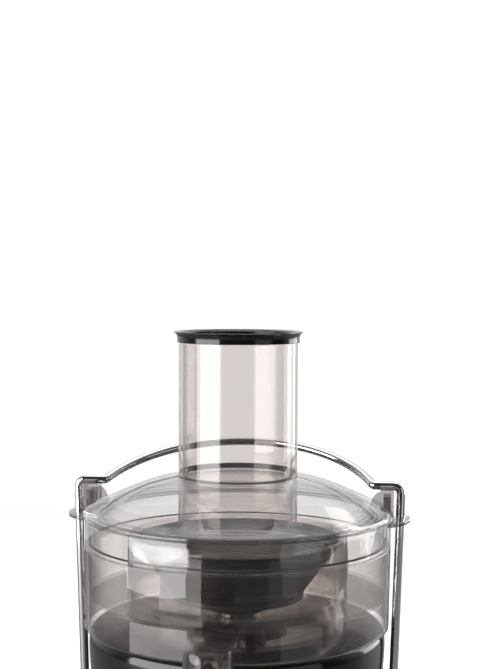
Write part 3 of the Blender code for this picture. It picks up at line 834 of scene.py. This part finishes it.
class JUICER_OT_lid(bpy.types.Operator):
    """Make the domed lid with its flange bead and its inner skirt"""

    bl_idname = "juicer.lid"
    bl_label = "Lid"

    def execute(self, context):
        size = context.scene.juicer_lid
        rim = size.lid_radius
        foot = [(0.0413, -0.0020), (0.0413, 0.0006)]
        flange = [(rim, -0.0256), (rim - 0.0003, -0.0264), (rim - 0.0008, -0.0268)]
        skirt = [(rim - 0.0008, -0.0450), (rim - 0.0032, -0.0450), (rim - 0.0032, -0.0248),
                 (0.0940, -0.0202), (0.0850, -0.0160)]
        inner_out = [(0.0890, -0.0206), (0.0953, -0.0254), (0.1000, -0.0306), (0.1006, -0.0480)]
        inner_in = [(0.0986, -0.0480), (0.0982, -0.0322), (0.0936, -0.0270), (0.0872, -0.0220),
                    (0.0799, -0.0156)]
        under = flowing([(0.0721, -0.0104), (0.0610, -0.0064), (0.0520, -0.0042)], 3)
        rest = eased([*skirt, *inner_out, *inner_in], 0.0009, 3, closed=False)
        section = [*foot, *lid_skin(size), *flange, *rest, *under]
        lid = turned("lid_domed", lifted(section, FOOT), 2 * SIDES)
        complete(lid, "smoky_lid", "base", "lid")

        outer, top = half_width("lid_seal"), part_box("lid_seal")[1].z
        section = ring_of(outer - 0.0018, outer, top - 0.0009, top)
        seal = turned("lid_seal_ring", eased(section, 0.0003))
        complete(seal, "grey_rubber", "base", "lid_seal")
        return {"FINISHED"}


def above_lid(size):
    """A solid under the lid's outer surface, which trims what stands on the lid."""
    top = [(radius + GAP, rise + GAP) for radius, rise in lid_skin(size)]
    under = [(0, -0.046), (size.lid_radius + GAP, -0.046)]
    return turned("above_lid", lifted([*under, *reversed(top), (0, top[0][1])], FOOT))


class JUICER_OT_lid_clips(bpy.types.Operator):
    """Make the two saddles that hold the bail, and the slotted lugs beside them"""

    bl_idname = "juicer.lid_clips"
    bl_label = "Lid clips and lugs"

    def execute(self, context):
        size = context.scene.juicer_lid
        bail = context.scene.juicer_bail
        for side, name in ((1, "right"), (-1, "left")):
            clip = self.clip(side, size, bail)
            clip.name = "saddle_" + name
            complete(clip, "smoky_thick", "base", "lid_clip_" + name)
            lug = self.lug(side, size, bail)
            lug.name = "lug_" + name
            complete(lug, "smoky_thick", "base", "lid_tab_" + name)
        return {"FINISHED"}

    @staticmethod
    def clip(side, size, bail):
        run = -bail.run_drop
        reach = bail.wire_radius + GAP
        seat = run - reach
        groove = [(reach * x, run + reach * y) for x, y in arc(1, 195, 270, 8)]
        view = [(-0.011, -0.040), (-0.011, -0.0058), (-0.0100, -0.0048), (-0.0085, -0.0042),
                (-0.0045, -0.0038), *groove, (0.0095, seat - 0.0009), (0.011, seat - 0.0022),
                (0.011, -0.040)]
        turn = Matrix(((0, 0, 1, 0), (1, 0, 0, 0), (0, 1, 0, FOOT), (0, 0, 0, 1)))
        near, far = sorted((side * 0.0980, side * 0.1070))
        clip = prism("saddle", view, near, far, turn)
        for y in (-0.0070, 0.0035):
            near, far = sorted((side * 0.1000, side * 0.1050))
            cut(clip, block("pocket", (near, y, FOOT - 0.0300), (far, y + 0.0045, FOOT - 0.0112)))
        fin = [(side * 0.1000, -0.040), (side * 0.0900, -0.040), (side * 0.0905, -0.0190),
               (side * 0.0925, -0.0130), (side * 0.0960, -0.0092), (side * 0.1000, -0.0090)]
        turn = Matrix(((1, 0, 0, 0), (0, 0, 1, 0), (0, 1, 0, FOOT), (0, 0, 0, 1)))
        join(clip, prism("fin", eased(fin, 0.002), -0.0015, 0.0015, turn))
        cut(clip, above_lid(size))
        near, far = sorted((side * 0.0800, side * 0.1200))
        cut(clip, block("trim", (near, -0.02, 0.2), (far, 0.02, FOOT - 0.0245)))
        return soften(clip, 0.0005)

    @staticmethod
    def lug(side, size, bail):
        slot = 0.0036
        leg = bail.leg_top - 0.0008
        outer = eased([(0.1000, 0.0090), (0.1000, -0.0280), (0.1085, -0.0230),
                       (0.1150, -0.0140), (0.1180, -0.0040), (0.1180, 0.0090)], 0.004,
                      closed=False)
        inner = [(leg + slot * math.cos(a), 0.0002 + slot * math.sin(a))
                 for a in [math.radians(-15 * k) for k in range(1, 12)]]
        outline = [*outer, (leg + slot, 0.0090), *inner, (leg - slot, 0.0090)]
        lug = prism("lug", [(side * point[0], point[1]) for point in outline],
                    FOOT - 0.0288, FOOT - 0.0263)
        cut(lug, turned("edge", rod_of(size.lid_radius + GAP, 0.2, 0.4)))
        return soften(lug, 0.0004)


class JUICER_OT_bowl(bpy.types.Operator):
    """Make the clear bowl: outer wall, pulp trough, juice cup and duct"""

    bl_idname = "juicer.bowl"
    bl_label = "Bowl"

    def execute(self, context):
        size = context.scene.juicer_bowl
        outer = size.bowl_radius
        cup = 0.0756
        seam = FOOT - 0.0453
        trough = FOOT - 0.0790
        section = [(0.0140, BOWL_LOW), (cup, BOWL_LOW), (cup, trough - size.wall),
                   (0.1018, trough - size.wall), (0.1018, BOWL_LOW), (0.1042, BOWL_LOW),
                   (outer, seam), (outer - 0.0025, seam), (outer - 0.0033, trough),
                   (cup, trough), (cup, FOOT - 0.0398), (cup - 0.0022, FOOT - 0.0398),
                   (cup - 0.0022, BOWL_LOW + 0.0026), (0.0165, BOWL_LOW + 0.0026),
                   (0.0165, FOOT - 0.0840), (0.0140, FOOT - 0.0840)]
        bowl = turned("bowl_clear", eased(section, 0.0007, 3))
        half = size.spout_half
        join(bowl, block("duct", (-half, -0.1030, BOWL_LOW + 0.0002), (half, -0.0745, 0.2256)))
        cut(bowl, block("juice_way", (-half + size.wall, -0.1200, BOWL_LOW + 0.0026),
                        (half - size.wall, -0.0650, 0.2222)))
        cut(bowl, block("pulp_way", (-0.0480, 0.0900, trough + GAP), (0.0480, 0.1200, 0.2500)))
        complete(bowl, "smoky_plastic", "base", "bowl")
        return {"FINISHED"}


class JUICER_OT_spout(bpy.types.Operator):
    """Make the juice spout and the pulp chute"""

    bl_idname = "juicer.spout"
    bl_label = "Spout and chute"

    def execute(self, context):
        size = context.scene.juicer_bowl
        spout = self.spout(size)
        complete(spout, "smoky_plastic", "base", "juice_spout")
        chute = self.chute(size)
        complete(chute, "smoky_plastic", "base", "pulp_chute")
        return {"FINISHED"}

    @staticmethod
    def spout(size):
        half = size.spout_half
        low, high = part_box("juice_spout")
        end = SPINDLE.y - low.y - half
        floor = BOWL_LOW + 0.0006
        tip = [(x, y - end) for x, y in arc(half, 180, 360, 24)]
        spout = prism("spout_clear", [(half, -0.1000), (-half, -0.1000), *tip], floor, high.z)
        cut(spout, turned("bowl_wall", rod_of(size.bowl_radius + GAP, 0.19, 0.24)))
        nozzle = Matrix.Translation((0, -end, 0))
        join(spout, turned("nozzle", rod_of(0.0125, low.z, high.z - 0.0040), SMALL_SIDES, nozzle))
        inner = half - size.wall
        cut(spout, block("channel", (-inner, -end, floor + size.wall),
                         (inner, -0.0900, high.z - size.wall)))
        cut(spout, turned("bore", rod_of(0.0101, 0.1800, high.z - 0.0031), SMALL_SIDES, nozzle))
        return soften(spout, 0.0005)

    @staticmethod
    def chute(size):
        half = size.chute_half
        low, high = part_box("pulp_chute")
        end = high.y - SPINDLE.y

        def roof(_x, y):
            return 0.2540 - (y - 0.105) * 0.17

        def lining(x, y):
            return roof(x, y) - size.wall

        corners = [(-half, 0.085), (half, 0.085), (half, end), (-half, end)]
        chute = prism("chute_clear", rounded_rear(corners, 0.022), low.z, roof)
        inner = half - size.wall
        corners = [(-inner, 0.060), (inner, 0.060), (inner, end - size.wall),
                   (-inner, end - size.wall)]
        cut(chute, prism("lining", rounded_rear(corners, 0.0196), low.z - 0.01, lining))
        cut(chute, turned("bowl_wall", rod_of(size.bowl_radius + 2 * GAP, 0.2, 0.26)))
        return soften(chute, 0.0008)


def rounded_rear(corners, radius, steps=10):
    """Round the last two corners of a plan with true arcs."""
    (x, y), near = corners[2], radius
    right = [(x - near + near * math.cos(a), y - near + near * math.sin(a))
             for a in [math.pi / 2 * k / steps for k in range(steps + 1)]]
    left = [(-px, py) for px, py in reversed(right)]
    return [corners[0], corners[1], *right, *left]


class JUICER_OT_basket(bpy.types.Operator):
    """Make the sieve basket, its rim, its hub and the toothed cutting disc"""

    bl_idname = "juicer.basket"
    bl_label = "Basket"

    def execute(self, context):
        size = context.scene.juicer_basket
        sieve = self.sieve(size)
        complete(sieve, "mesh_steel", "spindle", "basket_mesh")
        rim = [(0.0657, -0.0504), (0.0671, -0.0504), (0.0712, -0.0448), (0.0722, -0.0440),
               (0.0722, -0.0425), (0.0700, -0.0425), (0.0695, -0.0448)]
        rim = turned("basket_rim_ring", eased(lifted(rim, FOOT), 0.0005, 3))
        complete(rim, "black_gloss", "spindle", "basket_rim")
        low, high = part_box("cutting_disc")
        disc = turned("cutting_disc_plate",
                      eased(ring_of(0.0092, half_width("cutting_disc"), low.z, high.z), 0.0003))
        complete(disc, "blade_steel", "spindle", "cutting_disc")
        teeth = self.teeth(size, high.z)
        complete(teeth, "blade_steel", "spindle")
        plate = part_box("basket_hub")[1].z
        hub = [(0, plate - 0.0027), (0.0102, plate - 0.0027), (0.0102, plate - 0.0172),
               (0.0132, plate - 0.0172), (0.0132, plate - 0.0030), (0.0173, plate - 0.0030),
               (0.0173, plate - 0.0122), (0.0195, plate - 0.0122), (0.0195, plate - 0.0030),
               (0.0460, plate - 0.0030), (0.0460, plate), (0, plate)]
        hub = turned("basket_hub_moulded", eased(hub, 0.0005, 2))
        complete(hub, "black_matte", "spindle", "basket_hub")
        low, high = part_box("basket_nut")
        nut = [(0, low.z), (0.0088, low.z), (0.0088, low.z + 0.0030), (0.0070, high.z - 0.0015),
               (0.0035, high.z - 0.0003), (0, high.z)]
        nut = turned("basket_nut_domed", eased(nut, 0.0008, 3, closed=False), SMALL_SIDES)
        complete(nut, "blade_steel", "spindle", "basket_nut")
        return {"FINISHED"}

    @staticmethod
    def sieve(size):
        """Rows of holes round a cone, each row half a hole out of step with the next."""
        low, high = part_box("basket_mesh")
        wide = half_width("basket_mesh") - 0.0003
        tree = Pattern("sieve", columns=size.columns, rows=size.rows, low_radius=0.0449,
                       high_radius=wide, low=low.z, high=high.z, open_share=size.open_share)
        columns, rows = tree.size("columns"), tree.size("rows")
        grid = tree.add("GeometryNodeMeshGrid", {},
                        {"Size X": 1.0, "Size Y": 1.0, "Vertices X": columns + 1,
                         "Vertices Y": rows + 1})
        spot = tree.add("ShaderNodeSeparateXYZ", {},
                        {0: tree.add("GeometryNodeInputPosition").outputs[0]})
        across = tree.value(spot.outputs[0]) + 0.5
        up = tree.value(spot.outputs[1]) + 0.5
        odd = (up * rows + 0.5).floor() % 2
        turn = (across + 0.5 * odd / columns) * (2 * math.pi)
        radius = tree.size("low_radius") + up * (tree.size("high_radius")
                                                 - tree.size("low_radius"))
        height = tree.size("low") + up * (tree.size("high") - tree.size("low"))
        cone = tree.add("GeometryNodeSetPosition", {},
                        {"Geometry": grid.outputs[0],
                         "Position": tree.vector(radius * turn.cos(), radius * turn.sin(),
                                                 height)})
        closed = tree.add("GeometryNodeMergeByDistance", {},
                          {"Geometry": cone.outputs[0], "Distance": 0.00002})
        cells = tree.add("GeometryNodeExtrudeMesh", {"mode": "FACES"},
                         {"Mesh": closed.outputs[0], "Offset Scale": 0.0, "Individual": True})
        shrunk = tree.add("GeometryNodeScaleElements", {"domain": "FACE"},
                          {"Geometry": cells.outputs["Mesh"], "Selection": cells.outputs["Top"],
                           "Scale": tree.size("open_share")})
        holes = tree.add("GeometryNodeDeleteGeometry", {"domain": "FACE"},
                         {"Geometry": shrunk.outputs[0], "Selection": cells.outputs["Top"]})
        sieve = tree.close(holes.outputs[0], "mesh_steel").make("basket_sieve")
        sheet = sieve.modifiers.new("sheet", "SOLIDIFY")
        sheet.thickness = size.sheet
        sheet.offset = 0.0
        return settle(sieve)

    @staticmethod
    def teeth(size, height):
        """Small raised teeth in curved rows on the cutting disc."""
        tree = Pattern("teeth", arms=size.arms, teeth=size.teeth, first=0.0125, last=0.0415,
                       height=height)
        arms, teeth = tree.size("arms"), tree.size("teeth")
        index = tree.value(tree.add("GeometryNodeInputIndex").outputs[0])
        step = (index / arms).floor()
        share = step / (teeth - 1)
        radius = tree.size("first") + share * (tree.size("last") - tree.size("first"))
        turn = (index % arms) / arms * (2 * math.pi) + share * 0.9
        points = tree.add("GeometryNodePoints", {},
                          {"Count": arms * teeth,
                           "Position": tree.vector(radius * turn.cos(), radius * turn.sin(),
                                                   tree.size("height") - 0.0001)})
        tooth = tree.add("GeometryNodeMeshCone", {"fill_type": "NGON"},
                         {"Vertices": 5, "Side Segments": 1, "Radius Top": 0.0,
                          "Radius Bottom": 0.0010, "Depth": 0.0017})
        placed = tree.add("GeometryNodeInstanceOnPoints", {},
                          {"Points": points.outputs[0], "Instance": tooth.outputs["Mesh"],
                           "Rotation": tree.vector(0.0, 0.0, turn)})
        return tree.close(placed.outputs[0], "blade_steel").make("cutting_teeth")


def bail_path(size):
    """The bail's line from the right pin over the hoop to the left pin."""
    run = FOOT - size.run_drop - PIVOT.z
    depth = math.hypot(size.hoop_back, size.hoop_rise)
    radius = (size.kink ** 2 + depth ** 2) / (2 * depth)
    reach = math.asin(size.kink / radius)
    steps = 28
    hoop = []
    for k in range(1, steps + 1):
        turn = reach * (1 - k / steps)
        lean = (radius * math.cos(turn) - radius + depth) / depth
        hoop.append(Vector((radius * math.sin(turn), lean * size.hoop_back,
                            run + lean * size.hoop_rise)))
    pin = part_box("bail")[1].x
    corners = [(0.0840, 0, 0), (pin - 0.0077, 0, 0), (size.leg_top, 0, run),
               (size.kink, 0, run), hoop[0]]
    right = eased(corners, 0.006, 10, closed=False)[:-1] + hoop
    left = [Vector((-point.x, point.y, point.z)) for point in reversed(right[:-1])]
    return [point + Vector((0, 0, PIVOT.z)) for point in right + left]


class JUICER_OT_bail(bpy.types.Operator):
    """Make the chromed locking bail and the bosses that it turns in"""

    bl_idname = "juicer.bail"
    bl_label = "Bail"

    def execute(self, context):
        size = context.scene.juicer_bail
        bail = wire("bail_wire", bail_path(size), size.wire_radius, 28, "chrome_wire")
        complete(bail, "chrome_wire", "bail", "bail")
        for side, name in ((1, "right"), (-1, "left")):
            turn = along_x((BOSS_FOOT, 0, PIVOT.z))
            bore = size.wire_radius + GAP
            section = [(bore, 0), (BOSS_RADIUS, 0), (BOSS_RADIUS, 0.0082), (0.0134, 0.0100),
                       (0.0070, 0.0100), (0.0066, 0.0090), (bore, 0.0090)]
            boss = turned("boss_" + name, eased(section, 0.0010, 4), SMALL_SIDES, turn)
            if side < 0:
                boss.data.transform(Matrix.Rotation(math.pi, 4, "Z"))
            complete(boss, "black_gloss", "base", "bail_boss_" + name)
        return {"FINISHED"}


class JUICER_OT_base(bpy.types.Operator):
    """Make the motor housing, its steel wrap, the feet and the cord gland"""

    bl_idname = "juicer.base"
    bl_label = "Motor base"

    def execute(self, context):
        size = context.scene.juicer_base
        housing, wrap = self.shells(size)
        dial_way = rod_of(0.0273, 0, 0.060)
        gland_way = rod_of(0.0083, -0.01, 0.03)
        boss_way = rod_of(BOSS_RADIUS + GAP, -0.02, 0.02)
        for shell in (housing, wrap):
            hole = along_front((0, -0.060, DIAL.z))
            cut(shell, turned("dial_hole", dial_way, SMALL_SIDES, hole))
            cut(shell, turned("gland_hole", gland_way, SMALL_SIDES, gland_frame()))
        for side in (1, -1):
            hole = along_x((side * 0.100, 0, PIVOT.z))
            cut(housing, turned("boss_hole", boss_way, SMALL_SIDES, hole))
        complete(housing, "black_gloss", "base", "motor_housing")
        complete(wrap, "brushed_steel", "base", "steel_wrap")
        self.feet()
        section = [(0, -0.0040), (0.0080, -0.0040), (0.0080, 0.0068), (0.0100, 0.0078),
                   (0.0096, 0.0112), (0.0086, 0.0116), (0.0082, 0.0138), (0.0086, 0.0142),
                   (0.0078, 0.0146), (0.0074, 0.0166), (0.0076, 0.0170), (0.0066, 0.0200),
                   (0, 0.0200)]
        gland = turned("cord_gland", eased(section, 0.0004, 3, closed=False), SMALL_SIDES,
                       gland_frame())
        complete(gland, "grey_rubber", "base", "cord_inlet")
        return {"FINISHED"}

    @staticmethod
    def shells(size):
        low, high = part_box("motor_housing")
        skirt = size.housing_radius
        deck = high.z
        wall = 0.0030
        waist = 0.0952
        outer = flowing([(waist, 0.1260), (waist + 0.0010, 0.1360), (0.0995, 0.1640),
                         (0.1013, 0.1850), (0.1015, 0.1970), (0.1000, deck - 0.0021),
                         (0.0970, deck)], 4)
        inner = flowing([(0.0940, deck - wall), (0.0983, 0.1965), (0.0983, 0.1850),
                         (0.0965, 0.1640), (waist - 0.0020, 0.1360), (waist - wall, 0.1260)], 4)
        foot = flowing([(skirt, low.z), (skirt, 0.0210), (0.1022, 0.0280), (0.0970, 0.0330),
                        (waist, 0.0350)], 4)
        sole = [(waist - wall, 0.0350), (0.0992, 0.0268), (skirt - wall, 0.0205),
                (skirt - wall, low.z)]
        housing = [*foot, *outer, (0.0190, deck), (0.0190, deck - wall), *inner, *sole]
        wrap = ring_of(waist + GAP, size.wrap_radius, 0.0362, 0.1240)
        return (turned("housing_shell", housing, 2 * SIDES),
                turned("wrap_brushed", eased(wrap, 0.0003, 3), 2 * SIDES))

    @staticmethod
    def feet():
        """Ribbed rubber feet with a hollow sole."""
        for name in ("front_right", "front_left", "rear_right", "rear_left"):
            low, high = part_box("foot_" + name)
            centre = (low + high) / 2 - SPINDLE
            centre.z = 0
            height = high.z
            section = [(0, 0.0012), (0.0060, 0.0012), (0.0068, 0), (0.0095, 0),
                       (0.0110, 0.0015), (0.0113, 0.0038), (0.0109, 0.0043), (0.0115, 0.0048),
                       (0.0118, height), (0, height)]
            foot = turned("rubber_foot_" + name, eased(section, 0.0004, 3, closed=False),
                          SMALL_SIDES, Matrix.Translation(centre))
            complete(foot, "grey_rubber", "base", "foot_" + name)


def gland_frame():
    """Frame at the cord gland, its Z axis pointing outwards at the rear right."""
    heading = math.radians(25)
    place = (0.090 * math.cos(heading), 0.090 * math.sin(heading), 0.050)
    return (Matrix.Translation(place) @ Matrix.Rotation(heading, 4, "Z")
            @ Matrix.Rotation(math.pi / 2, 4, "Y"))


class JUICER_OT_dial(bpy.types.Operator):
    """Make the speed dial with its ribs and pointer, and the marked bezel behind it"""

    bl_idname = "juicer.dial"
    bl_label = "Speed dial"

    def execute(self, context):
        size = context.scene.juicer_base
        low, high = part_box("dial_bezel")
        outer = half_width("dial_bezel")
        depth = high.y - low.y
        back = along_front((0, high.y - SPINDLE.y, DIAL.z))
        section = [(0.0040, 0), (outer, 0), (outer, depth - 0.0015), (outer - 0.0015, depth),
                   (0.0040, depth)]
        bezel = turned("bezel_turned", eased(section, 0.0006, 4), 2 * SMALL_SIDES, back)
        complete(bezel, "bezel_steel", "base", "dial_bezel")
        rear = low.y - SPINDLE.y - GAP
        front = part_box("speed_dial")[0].y - SPINDLE.y
        face = rear - front - 0.0040
        radius = size.knob_radius - 0.0005
        section = [(0, -0.0200), (0.0030, -0.0200), (0.0030, 0), (radius, 0),
                   (radius - 0.0005, face - 0.0025), (radius - 0.0025, face), (0, face)]
        place = along_front((0, rear, DIAL.z))
        knob = turned("dial_knob", eased(section, 0.0010, 4, closed=False), 2 * SMALL_SIDES,
                      place)
        outline = eased([(-0.0030, -0.0165), (0.0030, -0.0165), (0.0030, 0.0165),
                         (-0.0030, 0.0165)], 0.0028)
        join(knob, soften(prism("grip", outline, face - 0.0015, face + 0.0040, place), 0.0008))
        complete(knob, "black_gloss", "dial", "speed_dial")
        complete(self.ribs(size, radius, face, place), "black_gloss", "dial")
        pointer = prism("dial_pointer", eased([(-0.0007, 0.0060), (0.0007, 0.0060),
                                               (0.0007, 0.0150), (-0.0007, 0.0150)], 0.0006),
                        face + 0.0038, face + 0.00405, place)
        complete(pointer, "mark_white", "dial")
        complete(self.marks(size, depth, back), "black_matte", "base")
        return {"FINISHED"}

    @staticmethod
    def ribs(size, radius, face, place):
        """Fine ribs round the knob, for the fingers."""
        tree = Pattern("ribs", grips=size.grips, radius=radius - 0.0003, face=face)
        circle = tree.add("GeometryNodeMeshCircle", {"fill_type": "NONE"},
                          {"Vertices": tree.size("grips"), "Radius": tree.size("radius")})
        rib = tree.add("GeometryNodeMeshCylinder", {"fill_type": "NGON"},
                       {"Vertices": 10, "Side Segments": 1, "Fill Segments": 1,
                        "Radius": 0.0008, "Depth": tree.size("face") - 0.0040})
        placed = tree.add("GeometryNodeInstanceOnPoints", {},
                          {"Points": circle.outputs[0], "Instance": rib.outputs["Mesh"]})
        raised = tree.add("GeometryNodeTransform", {},
                          {"Geometry": placed.outputs[0],
                           "Translation": tree.vector(0.0, 0.0, 0.5 * tree.size("face")
                                                      - 0.0008)})
        ribs = tree.close(raised.outputs[0], "black_gloss").make("dial_ribs")
        ribs.data.transform(place)
        return ribs

    @staticmethod
    def marks(size, depth, place):
        """Marks on the bezel for the off position and the speeds."""
        tree = Pattern("marks", marks=size.marks, radius=0.0238, depth=depth)
        index = tree.value(tree.add("GeometryNodeInputIndex").outputs[0])
        turn = math.pi / 2 + index / (tree.size("marks") - 1) * (-math.pi / 2)
        radius = tree.size("radius")
        points = tree.add("GeometryNodePoints", {},
                          {"Count": tree.size("marks"),
                           "Position": tree.vector(radius * turn.cos(), radius * turn.sin(),
                                                   tree.size("depth"))})
        tick = tree.add("GeometryNodeMeshCube", {}, {"Size": (0.0022, 0.0006, 0.0003)})
        placed = tree.add("GeometryNodeInstanceOnPoints", {},
                          {"Points": points.outputs[0], "Instance": tick.outputs["Mesh"],
                           "Rotation": tree.vector(0.0, 0.0, turn)})
        marks = tree.close(placed.outputs[0], "black_matte").make("dial_marks")
        marks.data.transform(place)
        return marks


class JUICER_OT_container(bpy.types.Operator):
    """Make the pulp container and its handle"""

    bl_idname = "juicer.container"
    bl_label = "Pulp container"

    def execute(self, context):
        size = context.scene.juicer_container
        low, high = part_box("pulp_container")
        end = high.y - SPINDLE.y
        body = prism("container_clear", self.plan(size, end, 0), low.z, high.z)
        cut(body, prism("hollow", self.plan(size, end, size.wall), low.z + 0.003, high.z + 0.01))
        complete(soften(body, 0.0008), "smoky_plastic", "pulp_bin", "pulp_container")
        complete(self.handle(end), "black_gloss", "pulp_bin", "bin_handle")
        return {"FINISHED"}

    @staticmethod
    def plan(size, end, inset):
        """Hollow front, straight sides and rounded rear corners, seen from above."""
        width = size.half - inset
        radius = size.front_radius + inset
        spread = math.degrees(math.asin(width / radius))
        front = arc(radius, 90 + spread, 90 - spread, 48)
        rear = rounded_rear([(0, 0), (0, 0), (width, end - inset), (0, 0)], 0.030 - inset)
        return front + rear[2:]

    @staticmethod
    def handle(end):
        low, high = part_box("bin_handle")
        reach = end + GAP + 0.0040
        out = high.y - SPINDLE.y - 0.0060
        bottom, top = low.z + 0.0110, high.z - 0.0110
        corners = [(0, reach, bottom), (0, out, bottom), (0, out, top), (0, reach, top)]
        path = eased(corners, 0.014, 12, closed=False)
        handle = wire("container_handle", path, 0.0060, 32, "black_gloss")
        for z in (bottom, top):
            pad = block("pad", (-0.0110, end + GAP, z - 0.0110), (0.0110, reach + 0.0030,
                                                                  z + 0.0110))
            join(handle, soften(pad, 0.0012))
        return handle


class JUICER_OT_works(bpy.types.Operator):
    """Give the motor, the switches and the other inner parts their finishes"""

    bl_idname = "juicer.works"
    bl_label = "Inner works"

    FINISHES = {
        "blade_steel": ("motor_shaft", "bearing_lower", "bearing_upper", "bail_retainer",
                        "interlock_plunger"),
        "brushed_steel": ("bracket_lower", "bracket_upper"),
        "core_iron": ("rotor_core", "stator_core"),
        "copper": ("winding_right", "winding_left", "commutator"),
        "carbon": ("brush_front", "brush_rear"),
        "grey_rubber": ("shaft_seal",),
        "board_green": ("control_board",),
        "black_matte": ("drive_coupling", "cooling_fan", "brush_holder_front",
                        "brush_holder_rear", "base_plate", "rotary_switch", "bail_cam",
                        "interlock_switch"),
    }

    def execute(self, context):
        for material, nodes in self.FINISHES.items():
            for node in nodes:
                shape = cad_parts[node]
                shape.data.materials.clear()
                shape.data.materials.append(fine(material))
        plain = [name for name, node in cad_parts.items()
                 if not node.hide_render and not any(name in n for n in self.FINISHES.values())]
        if plain:
            raise RuntimeError(f"no finish for {plain}")
        return {"FINISHED"}


class JUICER_OT_stage(bpy.types.Operator):
    """Make the floor, the soft lights and the camera"""

    bl_idname = "juicer.stage"
    bl_label = "Stage"

    def execute(self, context):
        size = context.scene.juicer_stage
        floor_white(size)
        bm = bmesh.new()
        bmesh.ops.create_circle(bm, cap_ends=True, segments=96, radius=size.floor_radius)
        floor = new_object("floor", bm)
        floor.data.materials.append(fine("floor_white"))
        self.world(context.scene)
        self.softbox("softbox_left", azimuth=-53, reach=1.25, height=0.36, wide=1.15, tall=0.9,
                     power=19.0)
        self.softbox("softbox_right", azimuth=54, reach=1.35, height=0.36, wide=0.8, tall=0.9,
                     power=1.3)
        self.softbox("softbox_top", azimuth=180, reach=0.30, height=1.70, wide=1.4, tall=1.0,
                     power=4.0)
        self.softbox("softbox_rear", azimuth=131, reach=1.4, height=0.7, wide=0.9, tall=1.3,
                     power=13.0)
        self.camera(context.scene, size)
        context.scene.view_settings.view_transform = "Standard"
        context.scene.cycles.transparent_max_bounces = 48
        return {"FINISHED"}

    @staticmethod
    def world(scene):
        """White behind the object, and in what it mirrors a room that is dark at the front."""
        scene.world = bpy.data.worlds.new("studio")
        scene.world.use_nodes = True
        tree = Tree(scene.world.node_tree)
        tree.tree.nodes.clear()
        way = tree.add("ShaderNodeTexCoord").outputs["Generated"]
        parts = tree.add("ShaderNodeSeparateXYZ", {}, {0: way})
        back = tree.value(parts.outputs[1])
        up = tree.value(parts.outputs[2])
        room = tree.add("ShaderNodeValToRGB",
                        {"stops": ((0.0, (0.03, 0.03, 0.03)), (1.0, (1.0, 1.0, 1.0)),
                                   (0.50, (0.05, 0.05, 0.05)), (0.76, (0.75, 0.75, 0.75)))},
                        {"Fac": 0.5 + 0.5 * back + 0.25 * up})
        seen = tree.add("ShaderNodeLightPath").outputs["Is Camera Ray"]
        around = tree.add("ShaderNodeBackground", {},
                          {"Color": room.outputs[0], "Strength": 0.8}).outputs[0]
        behind = tree.add("ShaderNodeBackground", {},
                          {"Color": (1.0, 1.0, 1.0), "Strength": 1.05}).outputs[0]
        mixed = tree.add("ShaderNodeMixShader", {}, {0: seen, 1: around, 2: behind})
        tree.add("ShaderNodeOutputWorld", {}, {"Surface": mixed.outputs[0]})

    @staticmethod
    def softbox(name, azimuth, reach, height, wide, tall, power):
        """A large soft light that faces the object. azimuth 0 is in front, 90 on the right."""
        light = bpy.data.lights.new(name, "AREA")
        light.shape = "RECTANGLE"
        light.size = wide
        light.size_y = tall
        light.energy = power
        heading = math.radians(azimuth)
        place = SPINDLE + Vector((reach * math.sin(heading), -reach * math.cos(heading), height))
        shape = bpy.data.objects.new(name, light)
        bpy.context.collection.objects.link(shape)
        aim = SPINDLE + Vector((0, 0, 0.25)) - place
        shape.location = place
        shape.rotation_euler = aim.to_track_quat("-Z", "Y").to_euler()
        shape.visible_camera = False

    @staticmethod
    def camera(scene, size):
        lens = bpy.data.cameras.new("camera")
        lens.lens = size.lens
        lens.sensor_width = 36.0
        lens.clip_start = 0.01
        lens.clip_end = 100.0
        shape = bpy.data.objects.new("camera", lens)
        bpy.context.collection.objects.link(shape)
        place = SPINDLE + Vector((size.distance * math.sin(size.azimuth),
                                  -size.distance * math.cos(size.azimuth), FOOT + size.height))
        turn = (Matrix.Rotation(size.azimuth - size.turn, 4, "Z")
                @ Matrix.Rotation(math.pi / 2 - size.pitch, 4, "X")
                @ Matrix.Rotation(size.roll, 4, "Z"))
        shape.matrix_world = Matrix.Translation(place) @ turn
        scene.camera = shape


STEPS = (JUICER_OT_finishes, JUICER_OT_feed_tube, JUICER_OT_lid, JUICER_OT_lid_clips,
         JUICER_OT_bowl, JUICER_OT_spout, JUICER_OT_basket, JUICER_OT_bail, JUICER_OT_base,
         JUICER_OT_dial, JUICER_OT_container, JUICER_OT_works, JUICER_OT_stage)


class JUICER_PT_sidebar(bpy.types.Panel):
    """Lists the sizes, the colours and the steps that make the juicer"""

    bl_idname = "JUICER_PT_sidebar"
    bl_label = "Juicer"
    bl_space_type = "VIEW_3D"
    bl_region_type = "UI"
    bl_category = "Juicer"

    def draw(self, context):
        for name, group in GROUPS.items():
            box = self.layout.box()
            settings = getattr(context.scene, name)
            for label in group.__annotations__:
                box.prop(settings, label)
        for step in STEPS:
            self.layout.operator(step.bl_idname)


CLASSES = (*GROUPS.values(), *STEPS, JUICER_PT_sidebar)


def register():
    for one in CLASSES:
        bpy.utils.register_class(one)
    for name, group in GROUPS.items():
        setattr(bpy.types.Scene, name, bpy.props.PointerProperty(type=group))


def unregister():
    for name in GROUPS:
        delattr(bpy.types.Scene, name)
    for one in reversed(CLASSES):
        bpy.utils.unregister_class(one)


def main():
    register()
    for step in STEPS:
        area, name = step.bl_idname.split(".")
        getattr(getattr(bpy.ops, area), name)()


if __name__ == "__main__":
    main()
